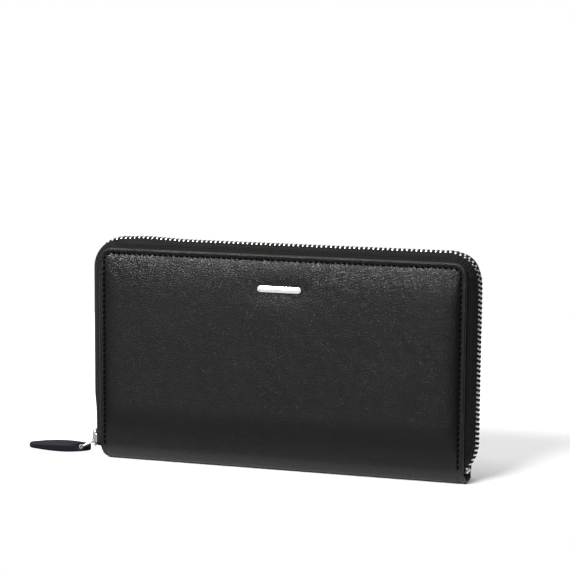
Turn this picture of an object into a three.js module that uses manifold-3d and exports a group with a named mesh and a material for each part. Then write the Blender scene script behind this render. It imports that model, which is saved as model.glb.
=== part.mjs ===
// A zip-around long wallet, standing on its spine with the zip closed.
// Millimetres, +Z up. The origin is the middle of the spine's underside; +X runs along the
// spine, and the front cover faces -Y. Each named mesh is one separate piece of the wallet.
import * as THREE from 'three';
import { mergeVertices } from 'three/addons/utils/BufferGeometryUtils.js';
import Module from 'manifold-3d';

const wasm = await Module();
wasm.setup();

// Driving dimensions
const LENGTH = 190; // covers, along the spine
const HEIGHT = 109.4; // covers, spine to top edge
const THICKNESS = 20.5; // rim to rim, zip closed
const CORNER = 7; // radius of the covers' top corners
const LEATHER = 1.1;
const GAP = 0.1; // between neighbouring layers
const HALF_LENGTH = LENGTH / 2;
const RIM = THICKNESS / 2; // outer face of a cover's stitched rim, from the middle plane

// Spine: a U of leather that the wallet stands on
const SPINE_FLAT = 4.4; // half-width of the flat underside
const SPINE_TOP = 11; // where the U runs into the covers
const COVER_FOOT = SPINE_TOP + 0.15;

// Padded field of each cover
const PAD_RISE = 1; // how far the padding lifts the leather above the rim
const PAD_INSET = 3.8; // stitched rim, outside the field
const PAD_SLOPE = 4; // width of the field's sloping border
const PAD_FOOT = 14;

// Layers inside a cover, measured from the middle plane to each layer's outer face
const BOARD = 0.8;
const LINING = 0.4;
const POCKET = 0.35;
const POCKET_COUNT = 4;
const POCKET_STEP = 13; // each card pocket's mouth is this much lower than the one behind it
const POCKET_TOP = 92;
const BOARD_FACE = RIM - LEATHER - GAP;
const LINING_FACE = BOARD_FACE - BOARD - GAP;
const POCKET_FACE = LINING_FACE - LINING - GAP;

// Zip chain: offsets run outwards from the covers' edge
const PITCH = 2.4; // one tooth of one row
const TOOTH_LOW = 2;
const TOOTH_HIGH = 4.4;
const TOOTH_ROOT = 3; // where the teeth grip the tape, from the middle plane
const TOOTH_REACH = 0.6; // how far a tooth passes the middle plane
const TOOTH_VALLEY = 0.8;
const CHAIN_MIDDLE = (TOOTH_LOW + TOOTH_HIGH) / 2;
const CHAIN_SPREAD = 0.3; // the zip bulges this much further out at the two ends
const CHAIN_FOOT = 7; // lowest tooth
const CHAIN_SPLIT = 24.5; // below this both rows stay with the spine
const TAPE_FOOT = 12;
const TAPE = 0.5;

// Main slider
const SLIDER_HEIGHT = 9; // its middle, above the floor
const SLIDER_LENGTH = 9;
const SLIDER_WIDTH = 8.2;
const SLIDER_PLATE = 0.7;
const SLIDER_CLEARANCE = 0.15;
const FLANGE = 0.8;
const BRIDGE_CLEAR = 1.65; // under the bridge
const BRIDGE_BAR = 0.6;
const BRIDGE_WIDTH = 1.8;

// Pull: a wire ring and a leather tab
const RING_WIRE = 0.6; // radius
const RING_RADIUS = 3; // of the ring's round ends, to the wire's middle
const RING_REACH = 8.9; // from the bridge to the tab's hole
const RING_SEAT = 0.8; // the wire's middle above the slider's plate
const RING_DROP = -1.8; // the wire's middle along the slider
const PULL_YAW = THREE.MathUtils.degToRad(8);
const TAB_LAYER = 1.08;
const TAB_HALF_WIDTH = 3.1;
const TAB_LEAN = THREE.MathUtils.degToRad(20);
const TAB_HOLE = 1.3;

// Coin pocket, hung between the covers on the two gussets
const COIN_HALF_LENGTH = 88.5;
const COIN_FACE = 1.65;
const COIN_WALL = 0.45;
const COIN_FOOT = 14;
const COIN_TOP = 93;
const COIN_CHAIN_HALF = 80;
const COIN_PITCH = 2;

const leatherBlack = new THREE.MeshStandardMaterial({ color: 0x26272a, roughness: 0.55, metalness: 0 });
const leatherNavy = new THREE.MeshStandardMaterial({ color: 0x23232f, roughness: 0.6, metalness: 0 });
const liningBlack = new THREE.MeshStandardMaterial({ color: 0x1b1c1e, roughness: 0.8, metalness: 0 });
const tapeBlack = new THREE.MeshStandardMaterial({ color: 0x1d1d1b, roughness: 0.9, metalness: 0 });
const polishedSteel = new THREE.MeshStandardMaterial({ color: 0xd8d9dc, roughness: 0.18, metalness: 1 });
const boardGrey = new THREE.MeshStandardMaterial({ color: 0x8b8378, roughness: 0.9, metalness: 0 });
const foamGrey = new THREE.MeshStandardMaterial({ color: 0xb9b6ae, roughness: 0.95, metalness: 0 });

const FRONT = -1; // side of the middle plane, as the sign of y
const BACK = 1;

const wallet = new THREE.Group();

function add(name, geometry, material, parent = wallet) {
  const mesh = new THREE.Mesh(geometry, material);
  mesh.name = name;
  parent.add(mesh);
  return mesh;
}

// Booleans

function toSolid(geometry) {
  const bare = geometry.clone();
  bare.deleteAttribute('normal');
  bare.deleteAttribute('uv');
  const merged = mergeVertices(bare, 1e-4);
  return new wasm.Manifold(new wasm.Mesh({
    numProp: 3,
    vertProperties: merged.attributes.position.array,
    triVerts: new Uint32Array(merged.index.array),
  }));
}

function toGeometry(solid) {
  const mesh = solid.getMesh();
  const geometry = new THREE.BufferGeometry();
  geometry.setAttribute('position', new THREE.BufferAttribute(mesh.vertProperties, 3));
  geometry.setIndex(new THREE.BufferAttribute(mesh.triVerts, 1));
  return geometry;
}

function join(...geometries) {
  return toGeometry(geometries.map(toSolid).reduce((whole, piece) => whole.add(piece)));
}

function cut(geometry, ...tools) {
  return toGeometry(tools.map(toSolid).reduce((whole, tool) => whole.subtract(tool), toSolid(geometry)));
}

// A box between two corners
function block(x0, y0, z0, x1, y1, z1) {
  const geometry = new THREE.BoxGeometry(x1 - x0, y1 - y0, z1 - z0);
  return geometry.translate((x0 + x1) / 2, (y0 + y1) / 2, (z0 + z1) / 2);
}

// A plate standing in the XZ plane: the shape's x and y become X and Z, between y0 and y1
function upright(shape, y0, y1, curveSegments = 5) {
  const geometry = new THREE.ExtrudeGeometry(shape, { depth: y1 - y0, bevelEnabled: false, curveSegments });
  return geometry.rotateX(Math.PI / 2).translate(0, y1, 0);
}

// A plate on one side of the middle plane, from its inner face to its outer face
function layer(shape, side, inner, outer) {
  return side === FRONT ? upright(shape, -outer, -inner) : upright(shape, inner, outer);
}

// The covers' outline, drawn in from their edge by inset, with round top corners
function coverShape(inset, foot, cornerRadius = Math.max(CORNER - inset, 1.5)) {
  const x = HALF_LENGTH - inset;
  const top = HEIGHT - inset;
  const shape = new THREE.Shape();
  shape.moveTo(-x, foot);
  shape.lineTo(x, foot);
  shape.lineTo(x, top - cornerRadius);
  shape.absarc(x - cornerRadius, top - cornerRadius, cornerRadius, 0, Math.PI / 2, false);
  shape.lineTo(-x + cornerRadius, top);
  shape.absarc(-x + cornerRadius, top - cornerRadius, cornerRadius, Math.PI / 2, Math.PI, false);
  return shape;
}

// Covers

// The field that the padding lifts: a low mound with sloping borders, from base outwards
function mound(side, base, rise, shrink) {
  const shape = coverShape(PAD_INSET + PAD_SLOPE + shrink, PAD_FOOT + PAD_SLOPE + shrink);
  const geometry = new THREE.ExtrudeGeometry(shape, {
    depth: 0.2,
    bevelEnabled: true,
    bevelThickness: rise,
    bevelSize: PAD_SLOPE,
    bevelSegments: 2,
    curveSegments: 3,
  });
  geometry.rotateX(Math.PI / 2);
  // the extrusion runs from y = rise down to -0.2 - rise; only its outer half stands above base
  if (side === FRONT) geometry.translate(0, -base + 0.2, 0);
  else geometry.translate(0, base, 0);
  return geometry;
}

function moundPart(side, base, rise, shrink) {
  const keep = side === FRONT
    ? block(-LENGTH, -base - 5, 0, LENGTH, -base, HEIGHT)
    : block(-LENGTH, base, 0, LENGTH, base + 5, HEIGHT);
  return toGeometry(toSolid(mound(side, base, rise, shrink)).intersect(toSolid(keep)));
}

function coverLeather(side) {
  const sheet = layer(coverShape(0, COVER_FOOT), side, RIM - LEATHER, RIM);
  const raised = join(sheet, moundPart(side, RIM - 0.01, PAD_RISE, 0));
  return cut(raised, moundPart(side, RIM - LEATHER, PAD_RISE, LEATHER));
}

function buildCover(side, label) {
  add(`${label}_cover_leather`, coverLeather(side), leatherBlack);
  add(`${label}_cover_padding`, moundPart(side, RIM - LEATHER + GAP, PAD_RISE - 0.3, LEATHER + 1), foamGrey);
  add(`${label}_cover_board`,
    layer(coverShape(PAD_INSET, PAD_FOOT), side, BOARD_FACE - BOARD, BOARD_FACE), boardGrey);
  add(`${label}_cover_lining`, layer(coverShape(0.8, PAD_FOOT), side, LINING_FACE - LINING, LINING_FACE), liningBlack);
  for (let i = 0; i < POCKET_COUNT; i += 1) {
    const face = POCKET_FACE - i * (POCKET + GAP);
    const top = POCKET_TOP - i * POCKET_STEP;
    add(`${label}_card_pocket_${i + 1}`, cardPocket(side, face, top), leatherBlack);
  }
}

// One tier of card pockets: a panel across the cover with a thumb notch above each column
function cardPocket(side, face, top) {
  const x = HALF_LENGTH - 4.5;
  const notch = 9;
  const dip = 3;
  const shape = new THREE.Shape();
  shape.moveTo(-x, PAD_FOOT);
  shape.lineTo(x, PAD_FOOT);
  shape.lineTo(x, top);
  for (const middle of [x / 2, -x / 2]) {
    shape.lineTo(middle + notch, top);
    shape.quadraticCurveTo(middle, top - 2 * dip, middle - notch, top);
  }
  shape.lineTo(-x, top);
  return layer(shape, side, face - POCKET, face);
}

// The spine's section, drawn with the shape's x as Y and its y as Z
function spineSection() {
  const shape = new THREE.Shape();
  const outer = RIM - SPINE_FLAT;
  shape.moveTo(RIM, SPINE_TOP);
  shape.absellipse(SPINE_FLAT, SPINE_TOP, outer, SPINE_TOP, 0, -Math.PI / 2, true, 0);
  shape.lineTo(-SPINE_FLAT, 0);
  shape.absellipse(-SPINE_FLAT, SPINE_TOP, outer, SPINE_TOP, -Math.PI / 2, -Math.PI, true, 0);
  shape.lineTo(-RIM + LEATHER, SPINE_TOP);
  shape.absellipse(-SPINE_FLAT, SPINE_TOP, outer - LEATHER, SPINE_TOP - LEATHER, Math.PI, 1.5 * Math.PI, false, 0);
  shape.lineTo(SPINE_FLAT, LEATHER);
  shape.absellipse(SPINE_FLAT, SPINE_TOP, outer - LEATHER, SPINE_TOP - LEATHER, -Math.PI / 2, 0, false, 0);
  return shape;
}

// An extrusion along X of a section drawn in YZ, between x0 and x1
function alongX(shape, x0, x1, curveSegments = 6) {
  const geometry = new THREE.ExtrudeGeometry(shape, { depth: x1 - x0, bevelEnabled: false, curveSegments });
  // shape x -> Y, shape y -> Z, depth -> X
  const turn = new THREE.Matrix4().makeBasis(
    new THREE.Vector3(0, 1, 0), new THREE.Vector3(0, 0, 1), new THREE.Vector3(1, 0, 0));
  return geometry.applyMatrix4(turn).translate(x0, 0, 0);
}

function buildSpine() {
  add('spine_leather', alongX(spineSection(), -HALF_LENGTH, HALF_LENGTH), leatherBlack);
  add('spine_stiffener',
    block(-HALF_LENGTH + 3, -SPINE_FLAT, LEATHER + GAP, HALF_LENGTH - 3, SPINE_FLAT, LEATHER + GAP + 0.6), boardGrey);
}

// Zip: everything follows the covers' edge, so a station is a point of that edge with its
// outward direction, and a section is drawn as [outward offset, y].

const chainLine = new THREE.Path();
{
  const x = HALF_LENGTH + CHAIN_SPREAD + CHAIN_MIDDLE;
  const bend = CORNER + CHAIN_MIDDLE;
  const low = HEIGHT - CORNER;
  chainLine.moveTo(-x, CHAIN_FOOT);
  chainLine.lineTo(-x, low);
  chainLine.absarc(-x + bend, low, bend, Math.PI, Math.PI / 2, true);
  chainLine.lineTo(x - bend, HEIGHT + CHAIN_MIDDLE);
  chainLine.absarc(x - bend, low, bend, Math.PI / 2, 0, true);
  chainLine.lineTo(x, CHAIN_FOOT);
}
const CHAIN_LENGTH = chainLine.getLength();
const SIDE_RUN = HEIGHT - CORNER - CHAIN_FOOT;
const BEND_RUN = (CORNER + CHAIN_MIDDLE) * Math.PI / 2;

function station(distance) {
  const t = THREE.MathUtils.clamp(distance / CHAIN_LENGTH, 0, 1 - 1e-9);
  const point = chainLine.getPoint(t);
  const along = chainLine.getTangent(t);
  const outward = new THREE.Vector2(-along.y, along.x).normalize();
  return { edge: point.addScaledVector(outward, -CHAIN_MIDDLE), outward };
}

// How far the last teeth at the right-hand end curl in towards the spine
function tuck(edge) {
  const below = Math.max(0, 21 - edge.y) / 14;
  return edge.x > 0 ? 3.6 * below ** 1.7 : 0;
}

// A closed solid swept through the stations, with the section that sectionAt gives for each
function sweep(distances, sectionAt) {
  const rings = distances.map((distance, index) => {
    const { edge, outward } = station(distance);
    return sectionAt(index).map(([offset, y]) => {
      const out = offset - tuck(edge) * THREE.MathUtils.clamp(offset / TOOTH_LOW, 0, 1);
      return new THREE.Vector3(edge.x + outward.x * out, y, edge.y + outward.y * out);
    });
  });
  const size = rings[0].length;
  const faces = [];
  for (let i = 0; i + 1 < rings.length; i += 1) {
    for (let j = 0; j < size; j += 1) {
      const k = (j + 1) % size;
      const [a, b] = [i * size, (i + 1) * size];
      faces.push(a + j, a + k, b + j, a + k, b + k, b + j);
    }
  }
  const last = (rings.length - 1) * size;
  const flat = (index) => sectionAt(index).map(([x, y]) => new THREE.Vector2(x, y));
  const clockwise = THREE.ShapeUtils.isClockWise(flat(0));
  for (const [start, base, turn] of [[0, 0, !clockwise], [rings.length - 1, last, clockwise]]) {
    for (const [a, b, c] of THREE.ShapeUtils.triangulateShape(flat(start), [])) {
      faces.push(base + a, base + (turn ? c : b), base + (turn ? b : c));
    }
  }
  const geometry = new THREE.BufferGeometry().setFromPoints(rings.flat());
  geometry.setIndex(faces);
  if (toSolid(geometry).volume() < 0) {
    for (let i = 0; i < faces.length; i += 3) [faces[i], faces[i + 1]] = [faces[i + 1], faces[i]];
    geometry.setIndex(faces);
  }
  return geometry;
}

// Distances for a plain strip: the ends, the bends in small steps, and the curled right-hand end
function stripDistances(leftFoot, rightFoot) {
  const bendSteps = 6;
  const start = leftFoot - CHAIN_FOOT;
  const end = CHAIN_LENGTH - (rightFoot - CHAIN_FOOT);
  const distances = [start];
  for (const bendStart of [SIDE_RUN, CHAIN_LENGTH - SIDE_RUN - BEND_RUN]) {
    for (let i = 0; i <= bendSteps; i += 1) distances.push(bendStart + BEND_RUN * i / bendSteps);
  }
  for (let z = 22; z > rightFoot + 1; z -= 2) distances.push(CHAIN_LENGTH - (z - CHAIN_FOOT));
  distances.push(end);
  return distances;
}

// A tape's section: stitched under the rim, then curving over to the teeth
function tapeSection(side) {
  const under = RIM - LEATHER - 2 * GAP;
  const outer = [[-3, under], [0.2, under], [1.7, under - 0.9], [2.7, under - 3], [3.3, 4.4], [3.3, TOOTH_ROOT + GAP]];
  const inner = [[2.8, TOOTH_ROOT + GAP], [2.8, 4.4], [2.2, under - 3.2], [1.3, under - 1.3], [0, under - TAPE], [-3, under - TAPE]];
  return [...outer, ...inner].map(([offset, y]) => [offset, side * y]);
}

// The free part of a tape, outside the covers' edge
function tapeEndSection(side) {
  const under = RIM - LEATHER - 2 * GAP;
  const points = [[0.6, under - 0.3], [1.7, under - 0.9], [2.7, under - 3], [3.3, 4.4], [3.3, TOOTH_ROOT + GAP],
    [2.8, TOOTH_ROOT + GAP], [2.8, 4.4], [2.2, under - 3.2], [1.3, under - 1.3], [0.6, under - 0.8]];
  return points.map(([offset, y]) => [offset, side * y]);
}

const HALF_PITCHES = 2 * Math.round(CHAIN_LENGTH / PITCH);
const SPLIT_STEP = 2 * Math.ceil((CHAIN_SPLIT - CHAIN_FOOT) / PITCH);

// One row of teeth as a rack, from one half-pitch step to another; the two rows' points alternate
function teeth(side, firstStep, lastStep) {
  const distances = [];
  for (let step = firstStep; step <= lastStep; step += 1) distances.push(CHAIN_LENGTH * step / HALF_PITCHES);
  return sweep(distances, (index) => {
    const pointsAcross = (firstStep + index + (side === BACK ? 1 : 0)) % 2 === 0;
    const tip = pointsAcross ? -side * TOOTH_REACH : side * TOOTH_VALLEY;
    const root = side * TOOTH_ROOT;
    return [[TOOTH_LOW, root], [TOOTH_HIGH, root], [TOOTH_HIGH, tip], [TOOTH_LOW, tip]];
  });
}

function buildMainZip() {
  add('back_zip_tape', sweep(stripDistances(TAPE_FOOT, TAPE_FOOT), () => tapeSection(BACK)), tapeBlack);
  add('front_zip_tape', sweep(stripDistances(CHAIN_SPLIT, CHAIN_SPLIT), () => tapeSection(FRONT)), tapeBlack);
  add('back_zip_teeth', teeth(BACK, 0, HALF_PITCHES), polishedSteel);
  add('front_zip_teeth', teeth(FRONT, SPLIT_STEP, HALF_PITCHES - SPLIT_STEP), polishedSteel);
  add('front_teeth_left_end', teeth(FRONT, 0, SPLIT_STEP - 1), polishedSteel);
  add('front_teeth_right_end', teeth(FRONT, HALF_PITCHES - SPLIT_STEP + 1, HALF_PITCHES), polishedSteel);
  const stub = CHAIN_SPLIT - 0.4 - CHAIN_FOOT;
  const foot = TAPE_FOOT - CHAIN_FOOT;
  add('front_tape_left_end', sweep([foot, stub], () => tapeEndSection(FRONT)), tapeBlack);
  const rightStub = [stub, 13, 11, 9, 7, foot].map((distance) => CHAIN_LENGTH - distance);
  add('front_tape_right_end', sweep(rightStub, () => tapeEndSection(FRONT)), tapeBlack);
  const stopEdge = -HALF_LENGTH - CHAIN_SPREAD;
  for (const [side, label] of [[FRONT, 'front'], [BACK, 'back']]) {
    const [low, high] = side === FRONT ? [-2.8, -1] : [1, 2.8];
    add(`${label}_top_stop`,
      block(stopEdge - TOOTH_HIGH, low, 4.8, stopEdge - TOOTH_LOW, high, 6.6), polishedSteel);
  }
  const stopMiddle = HALF_LENGTH - 0.4;
  add('bottom_stop', block(stopMiddle - 1.4, -3.2, 4.4, stopMiddle + 1.4, 3.2, 6.2), polishedSteel);
}

// Main slider, drawn with x outwards from the covers' left edge and z along the zip

const slider = new THREE.Group();
slider.position.set(-HALF_LENGTH - CHAIN_SPREAD, 0, SLIDER_HEIGHT);
slider.rotation.z = Math.PI;
wallet.add(slider);

function sliderPlate(x0, x1) {
  const [w, h, r] = [SLIDER_WIDTH / 2, SLIDER_LENGTH / 2, 1.6];
  const taper = 0.6; // the end that leads when the zip opens is narrower
  const shape = new THREE.Shape();
  shape.moveTo(-w + r, -h);
  shape.lineTo(w - r, -h);
  shape.quadraticCurveTo(w, -h, w, -h + r);
  shape.lineTo(w, h - 2 * r);
  shape.quadraticCurveTo(w, h, w - r - taper, h);
  shape.lineTo(-w + r + taper, h);
  shape.quadraticCurveTo(-w, h, -w, h - 2 * r);
  shape.lineTo(-w, -h + r);
  shape.quadraticCurveTo(-w, -h, -w + r, -h);
  return alongX(shape, x0, x1, 4);
}

function flanges(x0, x1) {
  const [w, h] = [SLIDER_WIDTH / 2, SLIDER_LENGTH / 2 - 2.4];
  return [block(x0, -w, -h, x1, -w + FLANGE, h), block(x0, w - FLANGE, -h, x1, w, h)];
}

const PLATE_INNER = TOOTH_HIGH + SLIDER_CLEARANCE;
const PLATE_OUTER = PLATE_INNER + SLIDER_PLATE;

function buildSlider() {
  const overlap = 0.05;
  add('slider_outer_plate',
    join(sliderPlate(PLATE_INNER, PLATE_OUTER), ...flanges(3.5, PLATE_INNER + overlap)), polishedSteel, slider);
  const underside = TOOTH_LOW - SLIDER_CLEARANCE;
  add('slider_inner_plate',
    join(sliderPlate(underside - SLIDER_PLATE, underside), ...flanges(underside - overlap, 2.6)), polishedSteel, slider);
  add('slider_bridge', bridge(), polishedSteel, slider);
}

// The arch that holds the ring, standing on the outer plate
function bridge() {
  const top = BRIDGE_CLEAR + BRIDGE_BAR;
  const shape = new THREE.Shape();
  shape.moveTo(0, -3.8);
  shape.lineTo(BRIDGE_CLEAR, -3.3);
  shape.quadraticCurveTo(top, -3.1, top, -2.4);
  shape.lineTo(top, 2.4);
  shape.quadraticCurveTo(top, 3.1, BRIDGE_CLEAR, 3.3);
  shape.lineTo(0, 3.8);
  shape.lineTo(0, 3);
  shape.lineTo(BRIDGE_CLEAR, 2.5);
  shape.lineTo(BRIDGE_CLEAR, -2.5);
  shape.lineTo(0, -3);
  return upright(shape, -BRIDGE_WIDTH / 2, BRIDGE_WIDTH / 2, 3).translate(PLATE_OUTER, 0, 0);
}

// Ring and tab, drawn with x along the pull, from the bridge towards the tab's tip

const swing = new THREE.Group();
swing.position.set(PLATE_OUTER + RING_SEAT, 0, RING_DROP);
swing.rotation.z = PULL_YAW;
slider.add(swing);

// The tab's widest part lies on the floor, which sets how far the ring slopes down to it
const tabRise = TAB_HALF_WIDTH * Math.cos(TAB_LEAN) + TAB_LAYER * Math.sin(TAB_LEAN);
const ringSlope = Math.asin((SLIDER_HEIGHT + RING_DROP - tabRise) / RING_REACH);

function buildPull() {
  const ring = new THREE.TorusGeometry(RING_RADIUS, RING_WIRE, 10, 20);
  const positions = ring.attributes.position;
  const stretch = RING_REACH - 2 * RING_RADIUS;
  for (let i = 0; i < positions.count; i += 1) {
    const x = positions.getX(i);
    positions.setX(i, x + RING_RADIUS + (x > 1e-6 ? stretch : 0));
  }
  add('pull_ring', ring, polishedSteel, swing).rotation.y = ringSlope;

  const tab = new THREE.Group();
  tab.position.set(RING_REACH * Math.cos(ringSlope), 0, -RING_REACH * Math.sin(ringSlope));
  tab.rotation.x = TAB_LEAN;
  swing.add(tab);
  add('pull_tab_outer_leather', upright(tabShape(), GAP / 4, TAB_LAYER, 6), leatherNavy, tab);
  add('pull_tab_inner_leather', upright(tabShape(), -TAB_LAYER, -GAP / 4, 6), leatherNavy, tab);
}

// A slender leaf with a round hole for the ring
function tabShape() {
  const half = new THREE.SplineCurve([
    [-5.6, 1.7], [-2, 2.35], [4, 2.95], [10, TAB_HALF_WIDTH], [17, 2.75], [23, 2.05], [26.4, 1.1], [27.3, 0],
  ].map(([x, y]) => new THREE.Vector2(x, y)));
  const upper = half.getPoints(14);
  const lower = upper.slice(0, -1).map((point) => new THREE.Vector2(point.x, -point.y));
  const shape = new THREE.Shape([...lower, ...upper.reverse()]);
  shape.holes.push(roundHole(-0.2, 0, TAB_HOLE));
  return shape;
}

function roundHole(x, y, radius) {
  const sides = 16;
  const points = Array.from({ length: sides }, (_, i) => {
    const angle = -2 * Math.PI * i / sides;
    return new THREE.Vector2(x + radius * Math.cos(angle), y + radius * Math.sin(angle));
  });
  return new THREE.Path(points);
}

// Gussets: two accordion folds at each end, from lining to lining

function buildGusset(label, end) {
  const thickness = 0.36;
  const folds = [[90.5, 5.6], [83.5, 3.7], [90.5, 2], [90.5, -2], [83.5, -3.7], [90.5, -5.6]];
  const shape = new THREE.Shape();
  const points = [
    ...folds.map(([x, y]) => new THREE.Vector2(end * x, y)),
    ...folds.slice().reverse().map(([x, y]) => new THREE.Vector2(end * (x + thickness * 1.2), y)),
  ];
  shape.setFromPoints(points);
  const geometry = new THREE.ExtrudeGeometry(shape, { depth: 74, bevelEnabled: false });
  add(`${label}_gusset`, geometry.translate(0, 0, 14), liningBlack);
}

// Coin pocket with its own small zip along the top

function buildCoinPocket() {
  const x = COIN_HALF_LENGTH;
  const inner = COIN_FACE - COIN_WALL;
  add('coin_pocket_front_wall', block(-x, -COIN_FACE, COIN_FOOT, x, -inner, COIN_TOP), liningBlack);
  add('coin_pocket_back_wall', block(-x, inner, COIN_FOOT, x, COIN_FACE, COIN_TOP), liningBlack);
  const fill = inner - GAP / 2;
  add('coin_pocket_bottom_strip', block(-x, -fill, COIN_FOOT, x, fill, COIN_FOOT + 2), liningBlack);
  add('coin_pocket_left_strip', block(-x, -fill, COIN_FOOT + 2.2, -x + 2, fill, COIN_TOP), liningBlack);
  add('coin_pocket_right_strip', block(x - 2, -fill, COIN_FOOT + 2.2, x, fill, COIN_TOP), liningBlack);
  for (const [side, label] of [[FRONT, 'front'], [BACK, 'back']]) {
    const section = new THREE.Shape([
      [COIN_FACE, COIN_TOP + GAP], [COIN_FACE, COIN_TOP + 3.4], [1.5, COIN_TOP + 3.4],
      [1.5, COIN_TOP + 2.8], [inner, COIN_TOP + 2.4], [inner, COIN_TOP + GAP],
    ].map(([y, z]) => new THREE.Vector2(side * y, z)));
    add(`coin_zip_${label}_tape`, alongX(section, -x + 2.2, x - 2.2), tapeBlack);
  }
  add('coin_zip_chain', coinChain(), polishedSteel);
  for (const [end, label] of [[-1, 'left'], [1, 'right']]) {
    const middle = end * (COIN_CHAIN_HALF + 1.4);
    add(`coin_zip_${label}_stop`,
      block(middle - 0.8, -1.4, COIN_TOP + 3, middle + 0.8, 1.4, COIN_TOP + 4.6), polishedSteel);
  }
}

// The closed small chain: a core with a tooth at every pitch
function coinChain() {
  const low = COIN_TOP + 3.5;
  const count = Math.floor(2 * COIN_CHAIN_HALF / COIN_PITCH);
  const shape = new THREE.Shape();
  const [narrow, wide] = [1, 1.9];
  const start = -COIN_CHAIN_HALF;
  shape.moveTo(start, -narrow);
  for (let i = 0; i < count; i += 1) {
    const x = start + i * COIN_PITCH;
    shape.lineTo(x + 0.45 * COIN_PITCH, -wide);
    shape.lineTo(x + COIN_PITCH, -narrow);
  }
  for (let i = count; i > 0; i -= 1) {
    const x = start + i * COIN_PITCH;
    shape.lineTo(x, narrow);
    shape.lineTo(x - 0.55 * COIN_PITCH, wide);
  }
  shape.lineTo(start, narrow);
  const geometry = new THREE.ExtrudeGeometry(shape, { depth: 1, bevelEnabled: false });
  return geometry.translate(0, 0, low);
}

const COIN_SLIDER_X = -COIN_CHAIN_HALF + 5;

function buildCoinSlider() {
  const deck = COIN_TOP + 4.7;
  const [l, w] = [3.6, 2.7];
  const plate = block(COIN_SLIDER_X - l, -w, deck, COIN_SLIDER_X + l, w, deck + 0.7);
  const cheeks = [-1, 1].map((side) => block(
    COIN_SLIDER_X - l + 1, side > 0 ? 2.1 : -w, deck - 1.1, COIN_SLIDER_X + l - 1, side > 0 ? w : -2.1, deck + 0.2));
  const posts = [-1, 1].map((side) => block(
    COIN_SLIDER_X - 1, side > 0 ? 1.1 : -1.7, deck + 0.5, COIN_SLIDER_X + 1, side > 0 ? 1.7 : -1.1, deck + 2));
  add('coin_slider_body', join(plate, ...cheeks, ...posts), polishedSteel);

  // A small flat pull with trunnions between the two posts, lying back along the chain
  const height = deck + 1.3;
  const shape = new THREE.Shape();
  shape.moveTo(0.4, -0.9);
  shape.lineTo(0.4, 0.9);
  shape.lineTo(-3, 0.9);
  shape.quadraticCurveTo(-5, 2.2, -8.4, 2.2);
  shape.quadraticCurveTo(-10, 2.2, -10, 0);
  shape.quadraticCurveTo(-10, -2.2, -8.4, -2.2);
  shape.quadraticCurveTo(-5, -2.2, -3, -0.9);
  shape.holes.push(roundHole(-7, 0, 1));
  const blade = new THREE.ExtrudeGeometry(shape, { depth: 0.8, bevelEnabled: false, curveSegments: 4 });
  add('coin_pull', blade.translate(COIN_SLIDER_X, 0, height - 0.4), polishedSteel);
}

// A plain bright bar on the front cover, held by a backing plate behind the leather

function buildNameplate() {
  const [halfWidth, halfHeight, middle] = [11.4, 1.9, 92.4];
  const face = RIM + PAD_RISE;
  const shape = new THREE.Shape();
  shape.moveTo(-halfWidth + halfHeight, middle - halfHeight);
  shape.lineTo(halfWidth - halfHeight, middle - halfHeight);
  shape.absarc(halfWidth - halfHeight, middle, halfHeight, -Math.PI / 2, Math.PI / 2, false);
  shape.lineTo(-halfWidth + halfHeight, middle + halfHeight);
  shape.absarc(-halfWidth + halfHeight, middle, halfHeight, Math.PI / 2, 1.5 * Math.PI, false);
  add('nameplate', upright(shape, -face - 0.9, -face - 0.02), polishedSteel);
}

buildCover(FRONT, 'front');
buildCover(BACK, 'back');
buildSpine();
buildMainZip();
buildSlider();
buildPull();
buildGusset('left', -1);
buildGusset('right', 1);
buildCoinPocket();
buildCoinSlider();
buildNameplate();

export default wallet;
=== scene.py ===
"""A black zip-around long wallet, standing closed on its spine.

Lengths are millimetres in the CAD frame, unless a comment says metres.
"""
import math

import bmesh
import bpy
import numpy as np
from mathutils import Matrix, Vector, noise
from mathutils.geometry import delaunay_2d_cdt


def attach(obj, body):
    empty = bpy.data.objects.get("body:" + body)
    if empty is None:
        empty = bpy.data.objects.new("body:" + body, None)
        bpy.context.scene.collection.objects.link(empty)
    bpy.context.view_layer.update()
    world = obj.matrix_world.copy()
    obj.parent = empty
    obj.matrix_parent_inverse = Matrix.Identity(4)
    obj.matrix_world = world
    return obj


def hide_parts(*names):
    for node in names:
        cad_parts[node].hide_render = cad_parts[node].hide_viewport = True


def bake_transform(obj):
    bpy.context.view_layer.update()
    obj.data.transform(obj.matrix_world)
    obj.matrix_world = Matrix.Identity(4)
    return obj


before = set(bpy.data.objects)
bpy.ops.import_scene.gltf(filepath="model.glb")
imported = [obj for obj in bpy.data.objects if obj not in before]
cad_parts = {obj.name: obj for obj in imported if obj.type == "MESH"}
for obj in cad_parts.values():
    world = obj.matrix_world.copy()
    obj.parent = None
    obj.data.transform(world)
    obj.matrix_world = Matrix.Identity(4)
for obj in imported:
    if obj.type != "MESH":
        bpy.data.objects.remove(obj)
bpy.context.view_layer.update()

MM = 0.001
ROOT, FRONT_BODY, COIN_BODY = "back_cover_and_spine", "front_cover", "coin_pocket"

# Covers
HALF_LENGTH, HEIGHT = 95.0, 109.4
RIM = 10.25  # outer face of the stitched rim, from the middle plane
CORNER = 7.0  # radius of the covers' upper corners
LEATHER = 1.1
SPINE_FLAT, SPINE_TOP = 4.4, 11.0  # half-width of the flat underside, and where the covers begin
STITCH_INSET, STITCH_PITCH, STITCH_RADIUS = 2.75, 2.8, 0.4
STITCH_END = 7.5  # height where the side stitching stops
PADDING_RISE = 2.2  # height of the padded field above the rim
PLATE_X, PLATE_Z = 1.4, 92.4  # the nameplate's middle
PLATE_DENT = 0.85  # how far the nameplate pulls the padding in

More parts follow.
